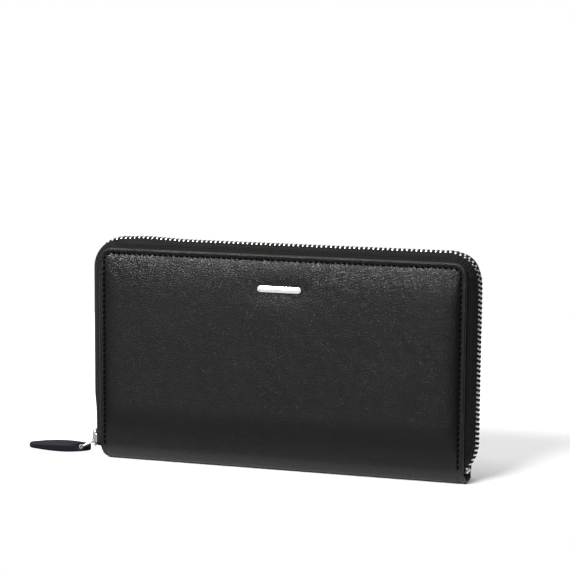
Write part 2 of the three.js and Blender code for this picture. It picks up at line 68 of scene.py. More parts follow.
# Zip
CHAIN_SPREAD = 0.3  # gap between the covers' ends and the line from which offsets are measured
TOOTH_LOW, TOOTH_HIGH = 2.0, 4.4
CHAIN_MIDDLE = (TOOTH_LOW + TOOTH_HIGH) / 2
CHAIN_FOOT = 7.0
CHAIN_TURN = 14.0  # radius of the teeth's turn at both corners, wider than the covers' own
TOOTH_PITCH = 2.4

# Between these two places the leather and the front half of the zip bend as the cover opens, in metres.
# The zip's zone slopes: it lies higher at the left, beside the slider.
LEATHER_BEND = [(0, 0, 3.0 * MM), (0, 0, 16.0 * MM)]
ZIP_BEND_SLOPE = 0.0638
ZIP_BEND_STEP = Vector((ZIP_BEND_SLOPE, 0, 1)) / (1 + ZIP_BEND_SLOPE ** 2) * MM
ZIP_BEND = [tuple(ZIP_BEND_STEP * z) for z in (7.75, 23.75)]  # heights at the middle of the length


# ---------------------------------------------------------------- mesh helpers


def piece(name, verts, faces, materials, slots=None):
    """A smooth mesh object; slots are the faces' material numbers."""
    mesh = bpy.data.meshes.new(name)
    mesh.from_pydata((np.asarray(verts, float) * MM).tolist(), [], [list(map(int, face)) for face in faces])
    for material in materials:
        mesh.materials.append(material)
    if slots is not None:
        mesh.polygons.foreach_set("material_index", np.asarray(slots, np.int32))
    mesh.polygons.foreach_set("use_smooth", np.full(len(mesh.polygons), True))
    mesh.update()
    made = bpy.data.objects.new(name, mesh)
    bpy.context.scene.collection.objects.link(made)
    return made


def solid(name, shapes, material, place=None):
    """One piece from several closed shapes, each given as points and faces, moved by a matrix."""
    verts, faces = [], []
    for shape_verts, shape_faces in shapes:
        faces += [[len(verts) + i for i in face] for face in shape_faces]
        verts += [tuple(v) for v in shape_verts]
    if place is not None:
        verts = [place @ Vector(v) for v in verts]
    return piece(name, verts, faces, [material])


def facing_out(obj, repair=False):
    """Turns a closed mesh's faces outwards; repair first welds its points and closes its open edges."""
    work = bmesh.new()
    work.from_mesh(obj.data)
    if repair:
        bmesh.ops.remove_doubles(work, verts=work.verts, dist=0.002 * MM)
        bmesh.ops.dissolve_degenerate(work, dist=0.001 * MM, edges=work.edges)
        bmesh.ops.holes_fill(work, edges=[edge for edge in work.edges if edge.is_boundary], sides=0)
    bmesh.ops.recalc_face_normals(work, faces=work.faces)
    work.to_mesh(obj.data)
    work.free()
    obj.data.polygons.foreach_set("use_smooth", np.full(len(obj.data.polygons), True))
    return obj


def crisp(obj, angle=50):
    """Turns the faces outwards and keeps edges sharper than the angle crisp, in degrees."""
    facing_out(obj)
    obj.data.set_sharp_from_angle(angle=math.radians(angle))
    return obj


def settle(obj, body, slot_name, *nodes, bend=None):
    """Ties a piece to its body, or, given a bend, bakes it where it stands with no parent; hides the nodes it
    replaces. The slot name is not used.
    """
    if bend:
        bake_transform(obj)
    else:
        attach(obj, body)
    if nodes:
        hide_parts(*nodes)


def lengths_along(points):
    """The distance run at each point of a line."""
    steps = np.linalg.norm(np.diff(points, axis=0), axis=1)
    return np.concatenate([[0], np.cumsum(steps)])


def directions(points):
    """The unit direction of a line at each of its points."""
    along = np.gradient(points, axis=0)
    return along / np.linalg.norm(along, axis=1)[:, None]


def smooth(t):
    t = np.clip(t, 0, 1)
    return t * t * (3 - 2 * t)


def grid_faces(rows, columns):
    starts = [r * columns + c for r in range(rows - 1) for c in range(columns - 1)]
    return [[i, i + 1, i + columns + 1, i + columns] for i in starts]


def tube_faces(rings, size, loop=False):
    """Faces of a tube of vertex rings; with loop the last ring joins the first, else both ends are closed."""
    faces = []
    for i in range(rings if loop else rings - 1):
        a, b = i * size, ((i + 1) % rings) * size
        for j in range(size):
            k = (j + 1) % size
            faces.append([a + j, a + k, b + k, b + j])
    if not loop:
        faces.append(list(range(size))[::-1])
        faces.append([(rings - 1) * size + j for j in range(size)])
    return faces


def swept(rings):
    """A closed shape through rings of points."""
    return [v for ring in rings for v in ring], tube_faces(len(rings), len(rings[0]))


def tube(points, radius, sides=8, loop=False, up=(0, 0, 1), round_ends=False):
    """A wire or thread along points."""
    points = [Vector(p) for p in points]
    count = len(points)
    verts = []
    for i, point in enumerate(points):
        ahead = points[(i + 1) % count] if loop or i + 1 < count else point
        behind = points[i - 1] if loop or i else point
        along = (ahead - behind).normalized()
        side = along.cross(Vector(up)).normalized()
        lift = side.cross(along)
        r = radius * 0.35 if round_ends and i in (0, count - 1) else radius
        for angle in (2 * math.pi * j / sides for j in range(sides)):
            verts.append(point + side * (r * math.cos(angle)) + lift * (r * math.sin(angle)))
    return verts, tube_faces(count, sides, loop)


def rounded_prism(outline, low, high, axes, bevel=0.15, steps=2):
    """A plate with rounded edges. outline is a loop of (a, b); axes maps (a, b, c) to a point."""
    outline = np.asarray(outline, float)
    if signed_area(outline) < 0:
        outline = outline[::-1]
    ahead, behind = np.roll(outline, -1, 0) - outline, outline - np.roll(outline, 1, 0)
    ahead /= np.linalg.norm(ahead, axis=1)[:, None]
    behind /= np.linalg.norm(behind, axis=1)[:, None]
    normal = np.stack([ahead[:, 1] + behind[:, 1], -(ahead[:, 0] + behind[:, 0])], 1)
    normal /= np.linalg.norm(normal, axis=1)[:, None]
    angles = [math.pi / 2 * i / steps for i in range(steps, -1, -1)]
    levels = [(low + bevel * (1 - math.sin(angle)), bevel * (1 - math.cos(angle))) for angle in angles]
    levels += [(high - (c - low), inset) for c, inset in levels[::-1]]
    return swept([[axes(*(p - n * inset), c) for p, n in zip(outline, normal)] for c, inset in levels])


def two_faced(front, back):
    """Points and faces of a closed panel from two grids of points of the same shape."""
    rows, columns = front.shape[:2]
    count = rows * columns
    faces = grid_faces(rows, columns)
    faces += [[count + i for i in face[::-1]] for face in faces]
    number = np.arange(count).reshape(rows, columns)
    rim = [*number[0], *number[1:, -1], *number[-1, -2::-1], *number[-2:0:-1, 0]]
    faces += [[a, b, count + b, count + a] for a, b in zip(rim, rim[1:] + rim[:1])]
    return np.concatenate([front.reshape(-1, 3), back.reshape(-1, 3)]), faces


def standing(x, y, z):
    return np.stack([x, y, z], 2)


def signed_area(points):
    points = np.asarray(points, float)
    ahead = np.roll(points, -1, 0)
    return 0.5 * np.sum(points[:, 0] * ahead[:, 1] - ahead[:, 0] * points[:, 1])


# ---------------------------------------------------------------- materials


def new_material(name, colour, roughness, metallic=0.0, specular=0.5):
    material = bpy.data.materials.new(name)
    material.use_nodes = True
    shader = material.node_tree.nodes["Principled BSDF"]
    shader.inputs["Base Color"].default_value = (*colour, 1)
    shader.inputs["Roughness"].default_value = roughness
    shader.inputs["Metallic"].default_value = metallic
    shader.inputs["IOR"].default_value = 1.45
    shader.inputs["Specular IOR Level"].default_value = specular
    return material, material.node_tree, shader


def node(tree, kind, inputs=None, **settings):
    made = tree.nodes.new(kind)
    for key, value in settings.items():
        setattr(made, key, value)
    for key, value in (inputs or {}).items():
        if isinstance(value, bpy.types.NodeSocket):
            tree.links.new(value, made.inputs[key])
        else:
            made.inputs[key].default_value = value
    return made


def math_node(tree, operation, a, b=0.0):
    return node(tree, "ShaderNodeMath", {0: a, 1: b}, operation=operation).outputs[0]


def vector_math(tree, operation, inputs):
    return node(tree, "ShaderNodeVectorMath", inputs, operation=operation).outputs[0]


def scaled(tree, vector, scale, rotation=(0, 0, 0)):
    inputs = {"Vector": vector, "Scale": scale, "Rotation": rotation}
    return node(tree, "ShaderNodeMapping", inputs).outputs[0]


def spread(tree, value, low, high, to_low, to_high):
    """Maps low to high onto to_low to to_high."""
    return node(tree, "ShaderNodeMapRange", {
        "Value": value, "From Min": low, "From Max": high, "To Min": to_low, "To Max": to_high}).outputs[0]


def object_place(tree):
    return node(tree, "ShaderNodeTexCoord").outputs["Object"]


def speckle(tree, place, scale, detail, output="Fac"):
    inputs = {"Vector": place, "Scale": scale, "Detail": detail}
    return node(tree, "ShaderNodeTexNoise", inputs).outputs[output]


def add_relief(tree, shader, height, strength, depth):
    bump = node(tree, "ShaderNodeBump", {"Height": height, "Strength": strength, "Distance": depth * MM})
    tree.links.new(bump.outputs[0], shader.inputs["Normal"])


def add_shades(tree, shader, factor, colour, low, high=1.0):
    """Varies the colour from low to high times its value."""
    mix = node(tree, "ShaderNodeMix", {0: factor}, data_type="RGBA")
    mix.inputs[6].default_value = (*(c * low for c in colour), 1)
    mix.inputs[7].default_value = (*(c * high for c in colour), 1)
    tree.links.new(mix.outputs[2], shader.inputs["Base Color"])


GRAIN_LOW, GRAIN_HIGH = 90.0, 102.0  # between these heights the grain deepens
GRAIN_DEEPENS = 1.6
GRAIN_DRAWN_OUT = 0.5


def leather(name, colour, roughness, grain, depth, specular=0.5):
    """Pebble-grained leather: cells of about grain mm, drawn out along one diagonal, with fine creases."""
    material, tree, shader = new_material(name, colour, roughness, specular=specular)
    place = object_place(tree)
    warp = vector_math(tree, "SUBTRACT", {0: speckle(tree, place, 210.0, 2.0, "Color"), 1: (0.5, 0.5, 0.5)})
    warped = vector_math(tree, "ADD", {0: place, 1: vector_math(tree, "SCALE", {0: warp, 3: 0.0016})})
    turned = scaled(tree, warped, (1, 1, 1), (0, math.radians(-45), 0))
    drawn = scaled(tree, turned, (1, 1, GRAIN_DRAWN_OUT))
    cells = node(tree, "ShaderNodeTexVoronoi", {"Vector": drawn, "Scale": 1000 / grain, "Randomness": 0.9},
                 feature="DISTANCE_TO_EDGE").outputs["Distance"]
    pebbles = math_node(tree, "POWER", spread(tree, cells, 0.0, 0.28, 0.0, 1.0), 0.6)
    height = math_node(tree, "ADD", math_node(tree, "MULTIPLY", pebbles, 0.75),
                       math_node(tree, "MULTIPLY", speckle(tree, place, 3200.0, 3.0), 0.12))
    uneven = math_node(tree, "MULTIPLY", speckle(tree, drawn, 300.0, 3.0), 0.5)
    height = math_node(tree, "ADD", height, uneven)
    level = node(tree, "ShaderNodeSeparateXYZ", {0: place}).outputs[2]
    deeper = spread(tree, level, GRAIN_LOW * MM, GRAIN_HIGH * MM, 1.0, GRAIN_DEEPENS)
    add_relief(tree, shader, math_node(tree, "MULTIPLY", height, deeper), 1.0, depth)
    patches = speckle(tree, place, 34.0, 4.0)
    rough = math_node(tree, "ADD", spread(tree, patches, 0.3, 0.7, roughness - 0.04, roughness + 0.05),
                      spread(tree, pebbles, 0.0, 1.0, 0.10, 0.0))
    tree.links.new(rough, shader.inputs["Roughness"])
    # The grain's creases are painted darker, as painted shade; the broad patches vary the tone at random.
    crease_shade_and_tone = math_node(tree, "MULTIPLY", pebbles, spread(tree, patches, 0.3, 0.7, 0.85, 1.0))
    add_shades(tree, shader, crease_shade_and_tone, colour, 0.45)
    return material


def plain_leather(name, colour, roughness):
    """Smooth edge paint or thin lining leather, with a faint grain."""
    material, tree, shader = new_material(name, colour, roughness)
    grain = speckle(tree, object_place(tree), 1500.0, 4.0)
    add_relief(tree, shader, grain, 0.5, 0.05)
    add_shades(tree, shader, grain, colour, 0.7, 1.2)
    rough = spread(tree, grain, 0.3, 0.7, roughness - 0.08, roughness + 0.08)
    tree.links.new(rough, shader.inputs["Roughness"])
    return material


def woven(name, colour, pitch, roughness, depth, specular=0.3, weave_light_and_shade=(0.45, 1.35)):
    """Plain weave: crossing threads of the given pitch, the same on every side of a piece; the raised threads
    are painted lighter and the hollows darker, as painted highlight and shade.
    """
    material, tree, shader = new_material(name, colour, roughness, specular=specular)
    place = object_place(tree)
    turns = 2 * math.pi / (pitch * MM)
    parts = node(tree, "ShaderNodeSeparateXYZ", {0: scaled(tree, place, (turns, turns, turns))}).outputs
    waves = [math_node(tree, "SINE", part) for part in parts]
    across = math_node(tree, "MULTIPLY", waves[0], waves[2])
    through = math_node(tree, "MULTIPLY", waves[1], math_node(tree, "ADD", waves[0], waves[2]))
    weave = spread(tree, math_node(tree, "ADD", across, through), -1.0, 1.0, 0.0, 1.0)
    fuzz = speckle(tree, place, 2600.0, 4.0)
    height = math_node(tree, "ADD", weave, math_node(tree, "MULTIPLY", fuzz, 0.6))
    add_relief(tree, shader, height, 0.9, depth)
    # Colour follows the weave's height: painted highlight on the raised threads, painted shade in the
    # hollows.
    add_shades(tree, shader, spread(tree, height, 0.2, 1.4, 0.0, 1.0), colour, *weave_light_and_shade)
    return material


def metal(name, colour, roughness):
    """Bright plated metal, brushed very finely, with faint handling marks."""
    material, tree, shader = new_material(name, colour, roughness, metallic=1.0)
    place = object_place(tree)
    marks = speckle(tree, place, 420.0, 5.0)
    tree.links.new(spread(tree, marks, 0.35, 0.7, roughness, roughness + 0.05), shader.inputs["Roughness"])
    add_relief(tree, shader, speckle(tree, scaled(tree, place, (1, 1, 0.08)), 5200.0, 2.0), 0.12, 0.02)
    add_shades(tree, shader, marks, colour, 0.9)
    return material


def thread(name, colour):
    """Twisted sewing thread."""
    material, tree, shader = new_material(name, colour, 0.7, specular=0.05)
    twist = node(tree, "ShaderNodeTexWave", {"Vector": object_place(tree), "Scale": 900.0, "Distortion": 1.0},
                 bands_direction="DIAGONAL").outputs["Fac"]
    add_relief(tree, shader, twist, 0.5, 0.06)
    # The twist's grooves are painted darker, as painted shade.
    add_shades(tree, shader, twist, colour, 0.6)
    return material


def fibre(name, colour, scale):
    """Raw board or foam: speckled and matte."""
    material, tree, shader = new_material(name, colour, 0.9, specular=0.2)
    speck = speckle(tree, object_place(tree), scale, 6.0)
    add_shades(tree, shader, speck, colour, 0.75, 1.2)
    add_relief(tree, shader, speck, 0.6, 0.1)
    return material


COVER = leather("cover_leather", (0.004, 0.004, 0.0041), 0.30, grain=0.75, depth=0.10, specular=0.40)
EDGE = plain_leather("edge_paint", (0.007, 0.0072, 0.0072), 0.42)
SUEDE = plain_leather("leather_back", (0.02, 0.02, 0.02), 0.9)
POCKET = leather("pocket_leather", (0.024, 0.024, 0.025), 0.5, grain=0.7, depth=0.05)
PULL = leather("pull_leather", (0.0025, 0.0027, 0.0095), 0.55, grain=0.7, depth=0.05, specular=0.2)
PULL_EDGE = plain_leather("pull_edge", (0.004, 0.0042, 0.008), 0.5)
THREAD = thread("thread", (0.0015, 0.0015, 0.0015))
# The tape's weave gets a strong painted highlight on its threads and painted shade between them.
TAPE = woven("zip_tape", (0.010, 0.010, 0.009), 1.3, roughness=0.85, depth=0.7, specular=0.15,
             weave_light_and_shade=(0.1, 2.6))
LINING = woven("lining", (0.03, 0.03, 0.033), 0.45, roughness=0.7, depth=0.05)
NICKEL = metal("nickel", (0.80, 0.80, 0.81), 0.32)
# The slider's nickel is painted darker than the other nickel, as painted dark reflection of its dim
# surroundings.
SHADED_SLIDER_NICKEL = metal("slider_nickel_painted_dark", (0.55, 0.55, 0.56), 0.16)
CHROME = metal("chrome", (0.92, 0.92, 0.93), 0.24)
BOARD = fibre("board", (0.32, 0.28, 0.23), 700.0)
FOAM = fibre("foam", (0.50, 0.49, 0.46), 1500.0)


# ---------------------------------------------------------------- covers


def fold_line():
    """The front cover in the YZ plane, from its top edge to the middle of the spine's underside."""
    points = [(-RIM, HEIGHT), (-RIM, SPINE_TOP)]
    for angle in (math.pi / 2 * i / 40 for i in range(1, 41)):
        points.append((-SPINE_FLAT - (RIM - SPINE_FLAT) * math.cos(angle), SPINE_TOP * (1 - math.sin(angle))))
    return np.array(points + [(0.0, 0.0)])


FOLD = fold_line()
FOLD_RUN = lengths_along(FOLD)
SHEET_DOWN = FOLD_RUN[-1]
NORMAL_STEP = 0.35  # half the length over which the fold's direction is taken


def fold_at(down):
    return np.interp(down, FOLD_RUN, FOLD[:, 0]), np.interp(down, FOLD_RUN, FOLD[:, 1])


def on_fold(down, side):
    """Point (y, z) and outward normal at a distance down the sheet from the top edge."""
    down = np.clip(down, 0, SHEET_DOWN)
    y, z = fold_at(down)
    (y_low, z_low), (y_high, z_high) = fold_at(down + NORMAL_STEP), fold_at(down - NORMAL_STEP)
    dy, dz = y_low - y_high, z_low - z_high
    size = np.hypot(dy, dz)
    return -side * y, z, -side * dz / size, -dy / size


RIM_PROFILE = np.array([  # inset from the edge, height above the rim's plane
    (0.0, -1.1), (0.05, -0.72), (0.16, -0.40), (0.34, -0.15), (0.6, 0.03), (0.95, 0.09), (1.35, 0.04),
    (1.75, -0.06), (2.1, -0.16), (2.4, -0.25), (2.6, -0.31), (2.75, -0.33), (2.9, -0.31), (3.1, -0.2),
    (3.4, -0.02), (3.9, 0.1), (4.6, 0.12), (200, 0.12)])
LOOP_INSETS = [*RIM_PROFILE[:-1, 0], 5.5, 6.6, 8.0, 9.6, 11.5]
SIDE_POINTS, TOP_POINTS, CORNER_POINTS = 84, 132, 11
EDGE_PAINT_WIDTH = 0.2


def inset_of(x, down):
    """Distance in from the rounded edge of the sheet; its bottom isn't an edge."""
    dx, dz = HALF_LENGTH - np.abs(x), down
    corner = (dx < CORNER) & (dz < CORNER)
    return np.where(corner, CORNER - np.hypot(CORNER - dx, CORNER - dz), np.minimum(dx, dz))


def swell(distance, reach):
    return 1 - np.exp(-np.maximum(distance, 0) / reach)


def field_height(x, down, side):
    """How far the padding lifts the leather; the nameplate's fixing pulls the front leather in."""
    z = HEIGHT - down
    lift = PADDING_RISE * swell(HALF_LENGTH - np.abs(x) - 2.9, 3.8) * swell(down - 2.9, 6.0)
    lift = lift * smooth((z - 8.0) / 22.0) * smooth((inset_of(x, down) - 2.85) / 1.6)
    if side < 0:
        lift = lift - PLATE_DENT * np.exp(-((x - PLATE_X) / 17.0) ** 2 - ((z - PLATE_Z) / 6.5) ** 2)
    return lift


def ripple(x, down, side):
    """Slight unevenness of hand-filled padding."""
    values = []
    for a, b in zip(x, down):
        slow = noise.noise(Vector((a / 31.0, b / 24.0, 3.0 * side)))
        medium = noise.noise(Vector(((a + b) / 9.0, (a - b) / 22.0, 7.0 + side)))
        values.append(0.10 * slow + 0.035 * medium)
    fade = smooth((inset_of(x, down) - 3.0) / 4.0) * smooth((HEIGHT - down - 4.0) / 14.0)
    return np.array(values) * fade


FOOT_HEIGHT, FOOT_IN_LEFT, FOOT_OUT_RIGHT = 9.0, 4.2, 1.2


def foot_tuck(x, z):
    """The covers' left end draws in towards the spine's underside, and the right end spreads out a little."""
    depth = np.where(x < 0, FOOT_IN_LEFT, -FOOT_OUT_RIGHT)
    low = np.clip(1 - z / FOOT_HEIGHT, 0, 1)
    curve = 1 - np.sqrt(1 - low ** 2 * 0.98)
    reach = np.clip((np.abs(x) - 60) / 35, 0, 1) ** 2
    return -np.sign(x) * depth * curve * reach


def edge_loop(inset):
    """Points (x, down) along the edge at one inset: up the left side, over the top, down the right side."""
    radius = max(CORNER - inset, 0.0)
    x_edge = HALF_LENGTH - inset
    left = np.stack([np.full(SIDE_POINTS, -x_edge), np.linspace(SHEET_DOWN, inset + radius, SIDE_POINTS)], 1)
    angles = np.linspace(0, math.pi / 2, CORNER_POINTS)[1:-1]
    bend = np.stack([-x_edge + radius - radius * np.cos(angles), inset + radius - radius * np.sin(angles)], 1)
    across = np.linspace(-x_edge + radius, x_edge - radius, TOP_POINTS)
    top = np.stack([across, np.full(TOP_POINTS, inset)], 1)
    half = np.concatenate([left, bend])
    return np.concatenate([half, top, half[::-1] * np.array([-1, 1])])


def cover_sheet():
    """The sheet's points (x, down) and faces: loops along its edge, then a grid inside the last loop."""
    loops = [edge_loop(inset) for inset in LOOP_INSETS]
    flat = np.concatenate(loops)
    faces = grid_faces(len(loops), len(loops[0]))
    count = len(flat)
    last = count - len(loops[-1])
    # the last loop's corners have no radius, so their points fall together and are welded later
    grid = np.empty((SIDE_POINTS, TOP_POINTS), int)
    grid[0] = last + SIDE_POINTS + CORNER_POINTS - 2 + np.arange(TOP_POINTS)
    x, down = np.meshgrid(flat[grid[0, 1:-1], 0], flat[last:last + SIDE_POINTS, 1][-2::-1])
    grid[:, 0] = np.arange(last, last + SIDE_POINTS)[::-1]
    grid[:, -1] = np.arange(count - SIDE_POINTS, count)
    grid[1:, 1:-1] = count + np.arange(x.size).reshape(x.shape)
    faces += grid.ravel()[grid_faces(SIDE_POINTS, TOP_POINTS)].tolist()
    return np.concatenate([flat, np.stack([x.ravel(), down.ravel()], 1)]), faces


def cover_leather(name, side):
    """A cover's leather with its rim, crease and padded field, its cut edge painted."""
    flat, faces = cover_sheet()
    x, down = flat.T
    inset = inset_of(x, down)
    lift = field_height(x, down, side)
    rim = np.interp(inset, *RIM_PROFILE.T) - 0.12 * smooth(inset - 3.1)
    y, z, ny, nz = on_fold(down, side)
    tucked = x + foot_tuck(x, z)
    heights = (rim + lift + ripple(x, down, side), -LEATHER + lift * 0.85)
    verts = np.concatenate([np.stack([tucked, y + ny * h, z + nz * h], 1) for h in heights])
    slots = [1 if max(inset[face]) <= EDGE_PAINT_WIDTH else 0 for face in faces] + [2] * len(faces)
    faces += [[len(flat) + i for i in reversed(face)] for face in faces]
    return facing_out(piece(name, verts, faces, (COVER, EDGE, SUEDE), slots), repair=True)


def stitch_path(inset):
    """Points (x, down) along the stitch line, in small steps."""
    step = 0.4
    radius = CORNER - inset
    x_edge = HALF_LENGTH - inset
    end = np.interp(-STITCH_END, -FOLD[:, 1], FOLD_RUN)
    half = [(-x_edge, d) for d in np.arange(end, inset + radius, -step)]
    half += [(-x_edge + radius - radius * math.cos(a), inset + radius - radius * math.sin(a))
             for a in np.linspace(0, math.pi / 2, 24)]
    half += [(x, inset) for x in np.arange(-x_edge + radius + step, 0, step)]
    return np.array(half + [(-x, d) for x, d in half[::-1]])


def stitching(name, side):
    """Sunk, slightly slanting stitches round a cover."""
    path = stitch_path(STITCH_INSET)
    run = lengths_along(path)
    count = int(run[-1] // STITCH_PITCH)
    pitch = run[-1] / count
    slant = np.linspace(-0.27, 0.27, 7)
    height = -0.1 - 0.4 * np.abs(np.linspace(-1, 1, 7)) ** 4
    stitches = []
    for start in (i * pitch + pitch * 0.11 for i in range(count)):
        at = np.linspace(start, start + pitch * 0.78, 7)
        x, down = np.interp(at, run, path[:, 0]), np.interp(at, run, path[:, 1])
        along = np.array([x[-1] - x[0], down[-1] - down[0]])
        along /= np.linalg.norm(along)
        x, down = x - along[1] * slant, down + along[0] * slant
        y, z, ny, nz = on_fold(down, side)
        points = np.stack([x + foot_tuck(x, z), y + ny * height, z + nz * height], 1)
        stitches.append(tube(points, STITCH_RADIUS, up=(0, ny[3], nz[3]), round_ends=True))
    return solid(name, stitches, THREAD)


def build_covers():
    nodes = {"front": ["front_cover_leather"], "back": ["back_cover_leather", "spine_leather"]}
    for side, label, bend in ((-1, "front", LEATHER_BEND), (1, "back", None)):
        skin = cover_leather(label + "_cover_skin", side)
        settle(skin, ROOT, "cover_leather", *nodes[label], bend=bend)
        settle(stitching(label + "_cover_stitches", side), ROOT, "cover_leather", bend=bend)


# ---------------------------------------------------------------- zip


def chain_line():
    """Rows of x, z and outward direction along the middle of the teeth, from left foot to right foot."""
    x = HALF_LENGTH + CHAIN_SPREAD + CHAIN_MIDDLE
    bend = CHAIN_TURN
    low = HEIGHT + CHAIN_MIDDLE - bend
    rows = [(-x, z, -1.0, 0.0) for z in np.arange(CHAIN_FOOT, low, 0.5)]
    rows += [(-x + bend - bend * math.cos(a), low + bend * math.sin(a), -math.cos(a), math.sin(a))
             for a in np.linspace(0, math.pi / 2, 40)]
    rows += [(px, low + bend, 0.0, 1.0) for px in np.arange(-x + bend + 0.5, 0, 0.5)]
    return np.array(rows + [(-a, b, -c, d) for a, b, c, d in rows[::-1]])


CHAIN_ROWS = chain_line()
CHAIN_RUN = lengths_along(CHAIN_ROWS[:, :2])
CHAIN_LENGTH = CHAIN_RUN[-1]
# Distances along the chain to the middle of each corner
LEFT_CORNER = HEIGHT + CHAIN_MIDDLE - CHAIN_TURN - CHAIN_FOOT + CHAIN_TURN * math.pi / 4
RIGHT_CORNER = CHAIN_LENGTH - LEFT_CORNER

TEETH_LEAN = 0.12
RIGHT_SPREAD = 0.35  # how much further out the teeth stand along the right-hand side
LEFT_BOW, LEFT_BOW_BEFORE, LEFT_BOW_REACH = 0.8, 24, 12  # the teeth bow upwards just after the left corner
TUCK_HEIGHT, TUCK_REACH, TUCK_DEPTH = 21.0, 14.0, 4.3


def tuck(x, z):
    """The last teeth at the right-hand end curl in towards the spine."""
    below = max(0.0, TUCK_HEIGHT - z) / TUCK_REACH
    return TUCK_DEPTH * below ** 2.4 if x > 0 else 0.0


def hump(distance, middle, reach):
    return math.exp(-((distance - middle) / reach) ** 2)


def lean(distance, y):
    """Along the top the row of teeth leans a little towards the front, but not at the corners."""
    on_top = smooth((distance - LEFT_CORNER - 6) / 14) * smooth((RIGHT_CORNER - 2 - distance) / 14)
    return -TEETH_LEAN * y * math.exp(-(y / 6.0) ** 2) * on_top


def chain_point(distance, offset, y):
    """A point at an offset out from the covers' edge line."""
    x, z, out_x, out_z = (np.interp(distance, CHAIN_RUN, column) for column in CHAIN_ROWS.T)
    size = math.hypot(out_x, out_z)
    z += min(distance, 0) + min(CHAIN_LENGTH - distance, 0)
    out = offset - CHAIN_MIDDLE - tuck(x, z) * min(max(offset / TOOTH_LOW, 0), 1) + lean(distance, y)
    out += RIGHT_SPREAD * smooth((distance - RIGHT_CORNER - 4) / 12)
    out += LEFT_BOW * hump(distance, LEFT_CORNER + LEFT_BOW_BEFORE, LEFT_BOW_REACH) * smooth(offset / 2)
    return (x + out_x / size * out, y, z + out_z / size * out)


TOOTH_PROFILE = [  # offset out from the chain's middle, distance from the middle plane towards the tape
    (-1.05, 3.35), (-1.2, 3.1), (-1.2, 2.3), (-0.85, 1.4), (-0.72, 0.2), (-0.5, -0.42), (-0.2, -0.5),
    (0.2, -0.5), (0.5, -0.42), (0.72, 0.2), (0.85, 1.4), (1.15, 2.2), (1.25, 2.65), (1.2, 2.95), (1.0, 3.15),
    (0.3, 3.44), (-0.4, 3.68)]
TOOTH_WIDTHS = [(0.60, 0.80), (0.52, 0.93), (0.38, 1.0)]  # half-width, size of the profile there
TOOTH_CENTRE = 1.45  # distance from the middle plane about which the profile shrinks
BENT_TEETH = (6.0, 25.0)  # between these distances the front teeth are slimmer, as they fan out in opening
BENT_TOOTH_WIDTH = 0.66


def bevelled(widths):
    """Sections across a tooth from one face to the other, as place and size."""
    return [(-width, size) for width, size in widths] + widths[::-1]


def teeth_row(name, side):
    """One row of metal teeth, each a bevelled clip round the tape's cord with a rounded head."""
    half_steps = 2 * round(CHAIN_LENGTH / TOOTH_PITCH)
    teeth = []
    for step in range(0 if side < 0 else 1, half_steps + 1, 2):
        middle = CHAIN_LENGTH * step / half_steps
        bent = side < 0 and BENT_TEETH[0] < middle < BENT_TEETH[1]
        teeth.append(swept([
            [chain_point(middle + width * (BENT_TOOTH_WIDTH if bent else 1.0), CHAIN_MIDDLE + offset * size,
                         side * (TOOTH_CENTRE + (inward - TOOTH_CENTRE) * size))
             for offset, inward in TOOTH_PROFILE]
            for width, size in bevelled(TOOTH_WIDTHS)]))
    return facing_out(solid(name, teeth, NICKEL))


TAPE_LINE = np.array([  # offset out from the covers' edge, distance from the middle plane, half-thickness
    (-3.0, 8.6, 0.26), (-1.5, 8.5, 0.26), (-0.3, 8.35, 0.26), (0.4, 8.2, 0.26), (1.05, 7.95, 0.26),
    (1.6, 7.5, 0.26), (2.1, 6.9, 0.26), (2.5, 6.0, 0.26), (2.78, 5.2, 0.26), (3.05, 4.5, 0.26),
    (3.25, 4.0, 0.26), (3.35, 3.58, 0.28), (3.32, 3.2, 0.42), (3.3, 2.9, 0.72), (3.3, 2.5, 0.9),
    (3.3, 1.9, 0.86), (3.25, 1.45, 0.6), (3.2, 1.2, 0.3)])
BULGE_MIDDLE, BULGE_REACH = 5.6, 1.25  # where the tape puffs out beside the teeth, and how widely
CORD_MIDDLE, CORD_REACH, CORD_BASE = 2.5, 1.0, 3.0  # the cord's place, and the offset of its underside
CORD_BUMP, CORD_BUMP_LOW = 0.52, 0.1
COARSE_STEP, FINE_STEP = 2.0, 0.4  # along the tape, before and after the first corner


def tape_bulge(distance):
    """How far the tape puffs out: up the left-hand side, and at the right-hand corner."""
    up_left = smooth((distance - 14) / 14) * smooth((LEFT_CORNER + 15 - distance) / 9)
    return 1.0 * up_left + 1.5 * hump(distance, RIGHT_CORNER, 9)


def cord_bump(distance, side):
    """The tape's cord swells up between the teeth, mostly from the first corner on."""
    pitch = CHAIN_LENGTH / round(CHAIN_LENGTH / TOOTH_PITCH)
    phase = distance / pitch - (0.5 if side > 0 else 0.0)
    height = CORD_BUMP_LOW + (CORD_BUMP - CORD_BUMP_LOW) * smooth((distance - LEFT_CORNER + 12) / 16)
    return height * (0.5 - 0.5 * math.cos(2 * math.pi * phase))


def tape(name, side):
    """The woven tape from under the cover's rim to the teeth, with a cord along its inner edge."""
    line, half = TAPE_LINE[:, :2], TAPE_LINE[:, 2:]
    along = directions(line)
    normal = np.stack([-along[:, 1], along[:, 0]], 1)
    section = np.concatenate([line + normal * half, (line - normal * half)[::-1]])
    start, fine, end = 6.5 - CHAIN_FOOT, LEFT_CORNER - 12, CHAIN_LENGTH + CHAIN_FOOT - 4.0
    distances = np.concatenate([np.arange(start, fine, COARSE_STEP), np.arange(fine, end, FINE_STEP)])
    puff = np.exp(-((section[:, 1] - BULGE_MIDDLE) / BULGE_REACH) ** 2)
    cord = np.exp(-((section[:, 1] - CORD_MIDDLE) / CORD_REACH) ** 4) * (section[:, 0] > CORD_BASE)
    rings = []
    for distance in distances:
        shift = puff * tape_bulge(distance) + cord * cord_bump(distance, side)
        rings.append([chain_point(distance, a + s, side * b) for (a, b), s in zip(section, shift)])
    return facing_out(solid(name, [swept(rings)], TAPE))


